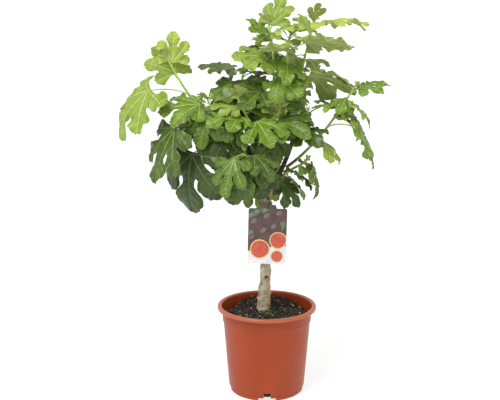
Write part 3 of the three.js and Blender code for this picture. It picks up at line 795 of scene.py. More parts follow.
@dataclass
class Compost:
    """Potting compost heaped round the trunk, with crumbs, chips, grit and a little moss."""

    level: float = 198.5
    radius: float = 106.6
    rings: int = 64
    segments: int = 150
    mounds: tuple[Mound, ...] = (
        Mound(8.5, -2, 84, 62, 52, 4),
        Mound(3.4, -9, 0, 42, 42),
        Mound(-13.5, -96, 56, 34, 42),
        Mound(-13.5, 98, 50, 30, 36),
    )
    gutter: float = 3.5  # how much lower it lies at the wall
    gutter_start: float = 0.86
    skirt: tuple[tuple[float, float], ...] = ((103.2, 172), (90.2, 18), (87, 14.4))  # radius and height
    plug: Triple = (12, 16.2, 9.4)  # out, across and up, of the compost that shows in a drain
    plug_at: tuple[float, float] = (83, 15.6)  # radius and height of its middle
    plug_rings: tuple[tuple[float, float], ...] = ((-0.5, 1.0), (0.32, 1.0), (0.5, 0.9))  # place and width
    plug_cells: int = 6
    trunk: tuple[float, float] = (-9, 0)
    trunk_gap: float = 17  # no crumb lies nearer to the trunk's middle
    crumbs: int = 2600
    crumb_sizes: tuple[float, float] = (0.7, 3.6)
    tufts: int = 150
    blades: int = 7  # in each tuft
    moss_start: float = 15.5
    moss_reach: float = 34
    sharp: float = 60
    earth: EarthFinish = EarthFinish("compost", "372f24", "15120d")
    finishes: tuple[EarthFinish, ...] = (
        EarthFinish("crumb_dark", "2c251c", "120f0b"),
        EarthFinish("crumb_brown", "6b5639", "3d301f"),
        EarthFinish("chip_pale", "bba679", "85704c"),
        EarthFinish("grit_white", "dcd9cc", "b0aa9a"),
        EarthFinish("fleck_green", "66753c", "3a4722"),
    )
    shares: tuple[float, ...] = (0.56, 0.25, 0.1, 0.03, 0.06)
    moss: LeafFinish = LeafFinish("moss", "9aab45", "66792c", "b7d24a", 0.25, 0.7)

    def height(self, x: float, y: float) -> float:
        """The height of the compost at a place, with its lumps."""
        out = hypot(x, y) / self.radius
        heap = sum(mound.at(x, y) for mound in self.mounds)
        low = self.gutter * max(out - self.gutter_start, 0) / (1 - self.gutter_start)
        rough = 4.6 * noise.noise(Vector((x, y, 0)) / 19) + 3.0 * noise.noise(Vector((x, y, 31)) / 8)
        fine = 1.9 * noise.noise(Vector((x, y, 77)) / 3.2)
        return self.level + heap - low + rough + fine

    def surface(self, bag: MeshBag) -> None:
        """Adds the top of the compost and its body inside the wall, down to the floor."""
        points = [[0.0, 0.0, self.height(0, 0)]]
        for r in np.linspace(0, 1, self.rings + 1)[1:]:
            for k in range(self.segments):
                angle = 2 * pi * k / self.segments
                x, y = self.radius * r * cos(angle), self.radius * r * sin(angle)
                points.append([x, y, self.height(x, y)])
        edge = points[-self.segments :]
        for radius, z in self.skirt:
            points += [[x * radius / self.radius, y * radius / self.radius, z] for x, y, _ in edge]
        points.append([0, 0, self.skirt[-1][1]])
        rows = self.rings + len(self.skirt)
        top = fan(0, 1, self.segments)
        body = 1 + grid_faces(rows, self.segments, True)[:, [0, 3, 2, 1]]
        hub = len(points) - 1
        under = fan(hub, hub - self.segments, self.segments, flip=True)
        bag.add(np.array(points), np.vstack([top, body, under]), self.earth.material())

    def plugs(self, bag: MeshBag) -> None:
        """Adds the compost that has settled into the drains, as blocks with rounded fronts."""
        steps = np.linspace(-0.5, 0.5, self.plug_cells + 1)
        edge = [(a, -0.5) for a in steps] + [(0.5, b) for b in steps[1:]]
        edge += [(a, 0.5) for a in steps[::-1][1:]] + [(-0.5, b) for b in steps[::-1][1:-1]]
        shares = [(depth, a * wide, b * wide) for depth, wide in self.plug_rings for a, b in edge]
        sizes = np.array([*shares, (-0.5, 0, 0), (0.56, 0, 0)]) * self.plug
        faces = closed_faces(len(self.plug_rings), len(edge))
        finish = self.finishes[0].material()
        for out, side in Pot().drain_ways():
            middle = out * self.plug_at[0] + UP * self.plug_at[1]
            bag.add(middle + sizes @ np.array([out, side, UP]), faces, finish)

    def lumps(self, bag: MeshBag) -> None:
        """Scatters crumbs over the surface, most of them dark."""
        gold = (1 + 5**0.5) / 2
        solid = np.array([[0, s, t * gold] for s in (-1, 1) for t in (-1, 1)])
        solid = np.vstack([solid, solid[:, [1, 2, 0]], solid[:, [2, 0, 1]]]) / hypot(1, gold)
        hull = convex_faces(solid)
        materials = [f.material() for f in self.finishes]
        edges = np.cumsum(self.shares)
        dice = Dice(511)
        for _ in range(self.crumbs):
            reach, angle = self.radius * 0.985 * sqrt(dice.draw()), dice.draw() * 2 * pi
            x, y = reach * cos(angle), reach * sin(angle)
            kind = min(int(np.searchsorted(edges, dice.draw() * edges[-1])), len(materials) - 1)
            size = mix(*self.crumb_sizes, dice.draw() ** 2.4) * (1.3 if kind == 0 else 0.8)
            flat = np.array([dice.between(0.6, 1.7), dice.between(0.5, 1.1), dice.between(0.35, 0.8)]) * size
            turn = dice.draw() * pi
            c, s = cos(turn), sin(turn)
            shape = solid * flat
            shape += np.array([[dice.signed(0.16) * size for _ in range(3)] for _ in solid])
            shape = shape @ np.array([[c, s, 0], [-s, c, 0], [0, 0, 1]])
            if hypot(x - self.trunk[0], y - self.trunk[1]) < self.trunk_gap:
                continue
            bag.add(shape + [x, y, self.height(x, y) + 0.25 * flat[2]], hull, materials[kind])

    def green(self, bag: MeshBag) -> None:
        """Adds a patch of moss at the foot of the trunk, in front and to its right."""
        dice = Dice(90)
        finish = self.moss.material()
        faces = np.array([[0, 1, 2], [0, 2, 3], [0, 3, 1], [1, 3, 2]])
        for _ in range(self.tufts):
            angle = radians(dice.between(-112, -28))
            far = self.moss_start + self.moss_reach * sin(pi * dice.draw()) ** 1.5
            reach = dice.between(self.moss_start, far)
            x = self.trunk[0] + reach * cos(angle)
            y = self.trunk[1] + reach * sin(angle) * 0.8
            foot = np.array([x, y, self.height(x, y) - 0.6])
            for _ in range(self.blades):
                way = np.array([dice.signed(1), dice.signed(1), dice.between(0.5, 1.3)])
                tip = unit(way) * dice.between(2.2, 4.6)
                side = unit(np.cross(tip, [dice.signed(1), dice.signed(1), 0.3])) * 0.55
                other = unit(np.cross(tip, side)) * 0.45
                middle = tip * 0.35
                shape = np.array([tip, middle + side, middle * 0.2 - side, middle + other])
                bag.add(foot + shape, faces, finish)

    def build(self) -> None:
        """Shows the compost with everything in it, and the moss."""
        bag = MeshBag()
        self.surface(bag)
        self.plugs(bag)
        self.lumps(bag)
        show("compost", bag.mesh("compost", self.sharp), ["soil"])
        moss = MeshBag()
        self.green(moss)
        show("moss", moss.mesh("moss", self.sharp), ["soil"])


def convex_faces(points: Array) -> Array:
    """The triangles round a small convex set of points.

    Args:
        points: one point to a row, round the origin, all of them corners.

    Returns:
        The triangles, facing out.
    """
    found = []
    count = len(points)
    for a in range(count):
        for b in range(a + 1, count):
            for c in range(b + 1, count):
                normal = np.cross(points[b] - points[a], points[c] - points[a])
                side = normal.dot(points[a])
                if abs(side) > 1e-9 and (np.sign(side) * (points @ normal) <= abs(side) + 1e-9).all():
                    found.append([a, b, c] if side > 0 else [a, c, b])
    return np.array(found)


# -------- wood


class Bark(IntEnum):
    """The kinds of bark, each with the number of its slot."""

    TRUNK = 0
    STREAK = 1
    FORK = 2
    BOUGH = 3
    SCAR = 4


@dataclass
class Timber:
    """The trunk and its boughs, grown together and covered with bark in relief."""

    foot: Triple = (-9, 0, 197.3)
    top: Triple = (-1, 0, 505)
    sway: float = 2.5
    foot_radius: float = 15.8
    waist_radius: float = 12.2
    head_radius: float = 13.4
    flare_height: float = 62
    boughs: dict[str, tuple[Curve, tuple[float, float]]] = field(
        default_factory=lambda: {
            "bough_right": (Curve((1, 0, 486), (38, 2, 548), (61, 15, 618)), (6.3, 5)),
            "bough_leader": (Curve((-2, 1, 494), (-10, 8, 566), (-8, 10, 632)), (8.4, 6)),
            "bough_left": (Curve((-4, -2, 484), (-34, -16, 566), (-97, -18, 644)), (6.4, 4.6)),
            "bough_front": (Curve((-2, -3, 478), (-6, -34, 528), (-16, -58, 566)), (5.2, 4.2)),
            "bough_back": (Curve((0, 3, 480), (16, 46, 540), (28, 84, 622)), (6.2, 4.6)),
            "bough_back_left": (Curve((-3, 2, 490), (-30, 44, 560), (-68, 74, 640)), (5.6, 4.4)),
        }
    )
    voxel: float = 1.1
    scars: tuple[float, ...] = (
        206, 219, 231, 246, 259, 277, 292, 309, 330, 352, 371, 394, 417, 436, 452, 470
    )  # the heights of its ring scars
    knots: tuple[tuple[float, float, float, float], ...] = (
        (289, -80, 8.0, 3.6), (301, -4, 5.0, 3.4), (257, -176, 6.2, 3.6), (231, 176, 4.4, 2.2),
        (244, -2, 4.6, 2.4), (300, 92, 5.4, 2.8), (262, 118, 5.0, 2.4), (482, -70, 6.0, 2.6),
    )  # height, azimuth, size and rise of each
    barks: tuple[BarkFinish, ...] = (
        BarkFinish("bark_trunk", "c6bba2", "a59a80", "726850", "463c2c", 120),
        BarkFinish("bark_streak", "cfaa7e", "b8906a", "8f6c4c", "5c452f", 90),
        BarkFinish("bark_upper", "a89a7d", "86785b", "5c503b", "3a3023"),
        BarkFinish("bark_bough", "655840", "4a402d", "32291d", "221c14", 90),
        BarkFinish("bark_scar", "54483a", "41362a", "2c241b", "1c1711", 120),
    )  # in the order of Bark
    streak_span: tuple[float, float] = (206, 306)
    streak_azimuth: float = -0.56  # in radians, as is streak_half
    streak_half: float = 0.3
    fork_start: float = 0.8  # as a share of the trunk's height, as is bough_start
    bough_start: float = 0.93
    grown_end: tuple[float, float] = (470, 520)  # the old bark ends between these heights
    trunk_rings: int = 90
    bough_rings: int = 44
    trunk_sides: int = 48
    bough_sides: int = 24
    sharp: float = 80

    def axis(self, share: float) -> Array:
        """The middle of the trunk at a share of its height."""
        at = np.array(self.foot) * (1 - share) + np.array(self.top) * share
        at[0] += self.sway * sin(2 * pi * share)
        return at

    def radius(self, share: float) -> float:
        """The trunk's radius: a flared foot, a slim waist and a swollen fork."""
        rise = share * (self.top[2] - self.foot[2])
        flare = exp(-((rise / self.flare_height) ** 2))
        head = smooth_step(0.72, 0.96, share)
        return mix(self.waist_radius, self.head_radius, head) + (self.foot_radius - self.waist_radius) * flare

    def ridge(self, ring: int, angle: float) -> float:
        """A factor on the trunk's radius: low ridges that wind up it."""
        turn = ring * 14 / (self.trunk_rings - 1)
        return 1 + 0.035 * sin(3 * angle + 0.5 * turn) + 0.02 * sin(5 * angle - turn)

    def limbs(self) -> Mesh:
        """The trunk and boughs as plain tubes that run into each other."""
        bag = MeshBag()
        plain = Board("raw").material
        shares = np.linspace(0, 1, self.trunk_rings)
        points = np.array([self.axis(s) for s in shares])
        radii = [self.radius(s) for s in shares]
        radii += [radii[-1] * 0.8, radii[-1] * 0.35]
        crown = points[-1] + np.array([[0, 0, 3.0], [0, 0, 5.5]])
        bag.add(*tube(np.vstack([points, crown]), radii, self.trunk_sides, across=self.ridge), plain)
        for curve, (thick, thin) in self.boughs.values():
            steps = np.linspace(0, 1, self.bough_rings)
            points = np.array([curve.point(s) for s in steps])
            end = points[-1] + curve.tangent(1) * 1.2
            radii = [mix(thick, thin, s) + 1.6 * exp(-((s / 0.13) ** 2)) for s in steps]
            bag.add(*tube(np.vstack([points, [end]]), [*radii, thin * 0.7], self.bough_sides), plain)
        return bag.mesh("limbs")

    def share_at(self, height: float) -> float:
        """A height as a share of the trunk's, 0 at its foot and 1 at its top."""
        return (height - self.foot[2]) / (self.top[2] - self.foot[2])

    def relief(self, at: Array) -> float:
        """How far the bark stands out at a point, in millimetres."""
        place = Vector(at)
        z = at[2]
        old = 1 - smooth_step(*self.grown_end, z)
        middle = self.axis(min(max(self.share_at(z), 0), 1))
        turn = atan2(at[1] - middle[1], at[0] - middle[0])
        drift = 3.2 * noise.noise(Vector((cos(turn), sin(turn), z / 70)))
        lines = sum(exp(-(((z - s - drift) / 1.5) ** 2)) for s in self.scars)
        rise = 0.75 * lines * old
        long = Vector((place.x, place.y, place.z * 0.2))
        rise += (0.75 * old + 0.22) * noise.noise(long / 5.5) + 0.35 * noise.noise(place / 3.0)
        rise += 0.9 * old * noise.noise(place / 17)
        for height, azimuth, size, lift in self.knots:
            away = float(np.linalg.norm(at - self.knot_at(height, azimuth))) / size
            rise += lift * (exp(-(away**2)) - 0.75 * exp(-((away / 0.42) ** 2)))
        return rise

    def knot_at(self, height: float, azimuth: float) -> Array:
        """The middle of a knot on the trunk's skin."""
        share = self.share_at(height)
        return self.axis(share) + self.radius(share) * level_way(radians(azimuth))

    def finish_at(self, at: Array) -> Bark:
        """Which bark a face has, with ragged borders between the kinds."""
        share = self.share_at(at[2])
        ragged = noise.noise(Vector(at) / 2.2)
        for height, azimuth, size, _ in self.knots:
            if np.linalg.norm(at - self.knot_at(height, azimuth)) < size * (0.6 + 0.3 * ragged):
                return Bark.SCAR
        if share > 1 + 0.03 * ragged:
            return Bark.BOUGH
        middle = self.axis(max(share, 0))
        away = hypot(at[0] - middle[0], at[1] - middle[1])
        if share > self.bough_start and away > self.radius(share) * (1.12 + 0.14 * ragged):
            return Bark.BOUGH
        wander = 0.13 * noise.noise(Vector((0, 0, at[2] / 9))) + 0.07 * ragged
        turn = atan2(at[1] - middle[1], at[0] - middle[0])
        beside = abs(turn - self.streak_azimuth + wander)
        if self.streak_span[0] < at[2] < self.streak_span[1] and beside < self.streak_half + wander:
            return Bark.STREAK
        edge = self.fork_start + 0.1 * noise.noise(Vector(at) / 11)
        return Bark.FORK if share > edge else Bark.TRUNK

    def build(self) -> None:
        """Fuses the limbs, raises their bark and shows them."""
        made = linked("limbs", self.limbs())
        fuse = made.modifiers.new("fuse", "REMESH")
        fuse.mode = "VOXEL"
        fuse.voxel_size = self.voxel * MM
        soften = made.modifiers.new("soften", "SMOOTH")
        soften.factor = 0.5
        soften.iterations = 5
        mesh = applied(made)
        count = len(mesh.vertices)
        points, normals = np.zeros(count * 3), np.zeros(count * 3)
        mesh.vertices.foreach_get("co", points)
        mesh.vertices.foreach_get("normal", normals)
        points, normals = points.reshape(-1, 3), normals.reshape(-1, 3)
        points += normals * np.array([self.relief(p / MM) for p in points])[:, None] * MM
        mesh.vertices.foreach_set("co", points.astype(np.float32).ravel())
        mesh.update()
        centres = np.zeros(len(mesh.polygons) * 3)
        mesh.polygons.foreach_get("center", centres)
        slots = np.array([self.finish_at(c) for c in centres.reshape(-1, 3) / MM], np.int32)
        mesh.materials.clear()
        for finish in self.barks:
            mesh.materials.append(finish.material())
        mesh.polygons.foreach_set("material_index", slots)
        shade(mesh, self.sharp)
        show("bark", mesh, ["trunk", *self.boughs])


# -------- leaves


class Tone(Enum):
    """How dark a shoot's leaves are: a place in the row of leaf tones, and the slot of their finish."""

    FRESH = (0.6, "young_leaf")
    YOUNG = (1.6, "young_leaf")
    LUSH = (2.2, "young_leaf")
    LIGHT = (1.8, "leaf")
    MID = (2.9, "leaf")
    DARK = (4.0, "old_leaf")
    DEEP = (4.4, "old_leaf")

    def __init__(self, place: float, slot: str) -> None:
        """Takes a tone's place and slot apart."""
        self.place = place
        self.slot = slot


@dataclass(frozen=True)
class Shoot:
    """A leafy shoot of this year's growth. Its lists run from its lowest leaf to its topmost."""

    start: Triple
    bend: Triple
    tip: Triple
    first: float  # where along the shoot the lowest leaf sits
    light: float  # the azimuth that the upper faces turn to
    tone: Tone
    heads: tuple[float, ...]  # the azimuth that each leaf heads for
    blade: tuple[float, ...]  # the lengths of blade and stalk, which may be given at fewer places
    stalk: tuple[float, ...]
    pitch: tuple[float, ...]  # of the blade above the level

    def curve(self) -> Curve:
        """The line of its stem."""
        return Curve(self.start, self.bend, self.tip)


SHOOTS: dict[str, Shoot] = {
    "left_high": Shoot(
        (-95, -18, 640), (-176, 16, 690), (-234, 12, 812), 0.6, 226, Tone.FRESH,
        (190, 160, 80, 340, 250), (138, 88, 74, 74, 36), (94, 15, 24, 14, 8), (-40, 56, 76, 80, 60),
    ),
    "left_mid": Shoot(
        (-88, -18, 634), (-112, -30, 664), (-136, -30, 712), 0.25, 268, Tone.MID,
        (262, 322, 236, 176, 40, 216), (96, 76, 84, 106, 40, 34), (26, 36, 26, 36, 10, 8),
        (-54, -44, -50, 4, 50, 58),
    ),
    "left_low": Shoot(
        (-66, -15, 608), (-120, -34, 636), (-176, -44, 660), 0.2, 262, Tone.DEEP,
        (206, 264, 214), (142, 84, 140), (70, 26, 42), (-74, -46, -60),
    ),
    "top_mid": Shoot(
        (60, 15, 613), (36, 36, 736), (50, 8, 858), 0.54, 40, Tone.YOUNG,
        (14, 238, 150, 344, 206, 60), (120, 84, 88, 124, 64, 48), (46, 30, 34, 50, 18, 12),
        (-10, -10, 6, 3, 26, 54),
    ),
    "right": Shoot(
        (45, 4, 554), (126, 0, 612), (203, 0, 746), 0.44, 345, Tone.LIGHT,
        (290, 350, 40, 340, 200, 350, 252, 356, 170), (90, 104, 56, 62, 54, 70, 58, 74, 40),
        (12, 70, 16, 20, 16, 16, 12, 22, 10), (-4, -58, -10, -30, 0, -42, -24, 20, 44),
    ),
    "top_right": Shoot(
        (61, 17, 614), (66, 62, 740), (110, 48, 892), 0.4, 90, Tone.LIGHT,
        (150, 240, 64, 200, 246, 196, 106, 324, 300), (80, 84, 84, 76, 76, 62, 64, 122, 46),
        (34, 30, 30, 24, 24, 14, 12, 32, 8), (-26, -30, -6, -16, -8, 30, 52, 20, 80),
    ),
    "top": Shoot(
        (-8, 10, 628), (32, -8, 752), (1, 0, 892), 0.36, 270, Tone.YOUNG,
        (196, 300, 344, 190, 284, 20, 120, 186, 348, 40, 250), (92, 84, 90, 84, 80, 74, 60, 66, 62, 80, 40),
        (34, 30, 36, 28, 24, 22, 16, 14, 14, 10, 8), (-26, -20, -10, 12, 24, 16, 20, 42, 24, 66, 58),
    ),
    "centre_front": Shoot(
        (-5, 8, 622), (10, -18, 648), (26, -34, 690), 0.3, 270, Tone.MID,
        (290, 300, 20, 200, 280), (78, 94, 76, 56, 40), (26, 18, 20, 14, 8), (-78, 6, 10, 30, 52),
    ),
    "centre_left": Shoot(
        (-9, 9, 626), (-38, -38, 652), (-68, -50, 722), 0.2, 266, Tone.LUSH,
        (226, 318, 210, 350, 188, 70, 262), (104, 92, 84, 60, 68, 58, 42), (30, 28, 28, 16, 12, 9, 8),
        (-52, -42, -26, 10, 34, 62, 58),
    ),
    "front_low": Shoot(
        (-15, -56, 564), (-30, -76, 584), (-54, -92, 600), 0.12, 270, Tone.DARK,
        (284, 214, 264, 310, 236), (72, 98, 88, 78, 90), (22, 32, 26, 28, 30), (-62, -60, -64, -44, -60),
    ),
    "mid_right": Shoot(
        (59, 12, 604), (78, 2, 646), (96, 6, 692), 0.3, 280, Tone.DARK,
        (306, 200, 14, 216), (72, 72, 102, 60), (26, 26, 72, 18), (-30, -24, -20, 20),
    ),
    "low_right": Shoot(
        (34, 2, 532), (56, -22, 556), (84, -32, 570), 0.3, 0, Tone.MID,
        (330, 304, 60, 2), (62, 60, 50, 88), (20, 24, 20, 22), (-14, -26, -10, -72),
    ),
    "low_back": Shoot(
        (-2, 6, 486), (4, 34, 504), (18, 56, 518), 0.3, 300, Tone.MID,
        (206, 322, 110, 20, 60), (62, 74, 84, 70, 70), (26, 30, 26, 34, 20), (-54, -42, -52, -38, -40),
    ),
    "back_left": Shoot(
        (-67, 73, 637), (-64, 72, 724), (-56, 48, 792), 0.24, 250, Tone.DARK,
        (226, 300, 160, 250, 20, 180, 286, 90), (104, 96, 96, 92, 84, 90, 70, 50),
        (40, 34, 38, 30, 30, 28, 16, 8), (-40, -34, -26, -18, -4, 16, 22, 48),
    ),
    "left_back": Shoot(
        (-64, 71, 632), (-108, 92, 654), (-156, 90, 684), 0.3, 210, Tone.DARK,
        (120, 236, 176, 100, 200, 262, 160), (100, 104, 104, 90, 92, 80, 60), (36, 40, 42, 30, 34, 26, 12),
        (-48, -44, -40, -26, -24, -10, 20),
    ),
    "back_mid": Shoot(
        (28, 83, 619), (26, 110, 700), (24, 104, 786), 0.22, 92, Tone.MID,
        (96, 210, 64, 150, 290, 20, 120, 230), (104, 96, 92, 86, 82, 74, 64, 52),
        (38, 36, 30, 30, 24, 20, 12, 8), (-44, -30, -20, -12, 2, 16, 36, 50),
    ),
    "back_right": Shoot(
        (25, 76, 602), (44, 112, 640), (46, 128, 696), 0.3, 60, Tone.MID,
        (84, 130, 170, 120, 70, 60), (100, 88, 96, 88, 80, 54), (34, 34, 40, 30, 26, 10),
        (-14, -34, -30, -20, -8, 34),
    ),
    "back_low": Shoot(
        (14, 44, 540), (2, 88, 556), (-22, 128, 572), 0.34, 110, Tone.DARK,
        (132, 196, 110, 60, 160, 96), (96, 100, 106, 92, 96, 84), (34, 36, 38, 30, 34, 24),
        (-54, -50, -52, -44, -42, -40),
    ),
}


@dataclass(frozen=True)
class Lobe:
    """A lobe of a blade, as shares of the blade's length, with the cleft to the next lobe out."""

    angle: float
    length: float
    width: float
    end: float
    sinus: float
    teeth: int


LOBES = (
    Lobe(0, 1, 0.26, 0.172, 0.47, 6),
    Lobe(42, 0.82, 0.225, 0.15, 0.35, 5),
    Lobe(92, 0.56, 0.185, 0.128, 0.05, 4),
)
SHOULDER = 0.76  # where a lobe is widest, and LOBE_END where it turns in to its tip, as shares of it
LOBE_END = 0.93
SHALLOWEST = 0.78  # the furthest a cleft reaches, as a share of the outer lobe beside it
YOUNG_LENGTH = 60  # a blade shorter than this has three lobes, not five


class BladeSlot(IntEnum):
    """The finishes of a blade, each with the number of its slot."""

    UPPER = 0
    UNDER = 1
    UPPER_VEIN = 2
    UNDER_VEIN = 3


@dataclass(frozen=True)
class Leaf:
    """Where a leaf is and how it is shaped, in millimetres and degrees."""

    node: Array  # where its stalk leaves the stem
    knee: Array  # steers the stalk's curve
    at: Array  # where the stalk meets the blade
    along: Array
    across: Array
    face: Array
    length: float
    spread: float
    cleft: float
    droop: float
    fold: float
    height: float  # the share of the shoot at which it sits

    def lobes(self) -> tuple[Lobe, ...]:
        """Its lobes from the middle one out. A short, young blade has fewer, and a folded one slimmer."""
        kept = LOBES[:2] if self.length < YOUNG_LENGTH else LOBES
        spread = self.spread
        return tuple(replace(lobe, width=lobe.width * spread, end=lobe.end * spread) for lobe in kept)

    def turn(self, number: int) -> float:
        """How far a lobe is turned in the blade, in radians; it is negative for a negative number."""
        return radians(LOBES[abs(number)].angle * self.spread) * (1 if number > 0 else -1)

    def place(self, flat: Array, lift: Array) -> Array:
        """Bends flat points of the blade into space.

        Args:
            flat: along and across the blade, as shares of its length, one point to a row.
            lift: height over the flat blade, as a share of its length.

        Returns:
            The points in millimetres.
        """
        reach = np.hypot(flat[:, 0], flat[:, 1]) * self.length
        bend = radians(self.droop) / self.length
        turned = np.maximum(bend * reach, 1e-9)
        shrink = np.sin(turned) / turned
        sag = (np.cos(turned) - 1) / bend
        scaled = flat * (self.length * shrink)[:, None]
        rise = sag + lift * self.length
        level = np.outer(scaled[:, 0], self.along) + np.outer(scaled[:, 1], self.across)
        return self.at + level + np.outer(rise, self.face)


@dataclass
class GrowthRule:
    """The seeded rule by which shoots put out their leaves."""

    azimuth: float = 7
    pitch: float = 6
    roll: float = 12
    spare: float = 0.06
    light_low: float = 0.58
    light_high: float = 0.24
    light_rise: float = 0.5
    crowded: float = 0.58
    last: float = 0.98
    turns: tuple[float, ...] = (0, 10, -10, 20, -20, 34, -34, 48, -48)
    tilts: tuple[float, ...] = (0, -12, 12, -26, 26)
    stretches: tuple[float, ...] = (1, 1.35)
    rise: float = 25
    follow: float = 0.5
    least_rise: float = -16
    most_rise: float = 70
    folded: float = 0.78
    spread_spare: float = 0.08
    droop: float = 30
    droop_spare: float = 0.45
    fold: float = 0.22
    fold_spare: float = 0.6
    cleft: float = 1.11
    cleft_spare: float = 0.28
    near: float = 0.05  # millimetres within which a leaf's tip has to meet its solid's

    def ways(self) -> list[tuple[float, float, float]]:
        """The ways to place a leaf, the one with the least change first."""
        changes = product(self.stretches, self.turns, self.tilts)
        found = [(turn, tilt, stretch) for stretch, turn, tilt in changes]
        return sorted(found, key=lambda way: abs(way[0]) + abs(way[1]) + 40 * (way[2] - 1))

    def leaf(self, shoot: Shoot, number: int, i: int, way: tuple[float, float, float]) -> Leaf:
        """One leaf of a shoot.

        Args:
            shoot: the shoot that it grows on.
            number: the shoot's number, from 1.
            i: the leaf's number, from 0 for the lowest.
            way: how it is turned and tilted from its own place, and its stalk stretched.

        Returns:
            The leaf.
        """
        dice = Dice(number * 100 + i + 1)
        turned, tilted, stretched = way
        share = i / (len(shoot.heads) - 1)
        height = mix(shoot.first, self.last, share**self.crowded)
        azimuth = radians(shoot.heads[i] + dice.signed(self.azimuth) + turned)
        slope = through(shoot.pitch, share) + dice.signed(self.pitch) + tilted
        length = through(shoot.blade, share) * (1 + dice.signed(self.spare))
        stalk = through(shoot.stalk, share) * (1 + dice.signed(self.spare)) * stretched
        roll = radians(dice.signed(self.roll))
        rise = radians(min(max(self.rise + self.follow * slope, self.least_rise), self.most_rise))
        pitch = radians(slope)
        out = level_way(azimuth)
        curve = shoot.curve()
        node = curve.point(height)
        along = out * cos(pitch) + UP * sin(pitch)
        face = UP * cos(pitch) - out * sin(pitch)
        sun = unit(level_way(radians(shoot.light)) + UP * self.light_rise)
        face = face + (sun - face) * mix(self.light_low, self.light_high, share)
        face = unit(face - along * face.dot(along))
        face = face * cos(roll) + np.cross(along, face) * sin(roll)
        return Leaf(
            node=node,
            knee=node + unit(curve.tangent(height) + out) * stalk * 0.5,
            at=node + out * stalk * cos(rise) + UP * stalk * sin(rise),
            along=along,
            across=np.cross(face, along),
            face=face,
            length=length,
            spread=(1 + dice.signed(self.spread_spare)) * mix(1, self.folded, share),
            cleft=self.cleft + dice.signed(self.cleft_spare),
            droop=self.droop * (1 + dice.signed(self.droop_spare)),
            fold=self.fold * (1 + dice.signed(self.fold_spare)),
            height=height,
        )

    def leaves(self, shoot: Shoot, number: int, solid: Piece) -> list[Leaf]:
        """A shoot's leaves, each in the first way that its solid has it. One with no room is left out.

        Args:
            shoot: the shoot.
            number: its number, from 1.
            solid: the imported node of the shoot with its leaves.

        Returns:
            The leaves, the lowest first.
        """
        tree = KDTree(len(solid.data.vertices))
        for i, vertex in enumerate(solid.data.vertices):
            tree.insert(vertex.co, i)
        tree.balance()
        found = []
        for i in range(len(shoot.heads)):
            for way in self.ways():
                leaf = self.leaf(shoot, number, i, way)
                tip = leaf.place(np.array([[1.0, 0.0]]), np.zeros(1))[0] * MM
                if tree.find(Vector(tip))[2] < self.near * MM:
                    found.append(leaf)
                    break
        return found


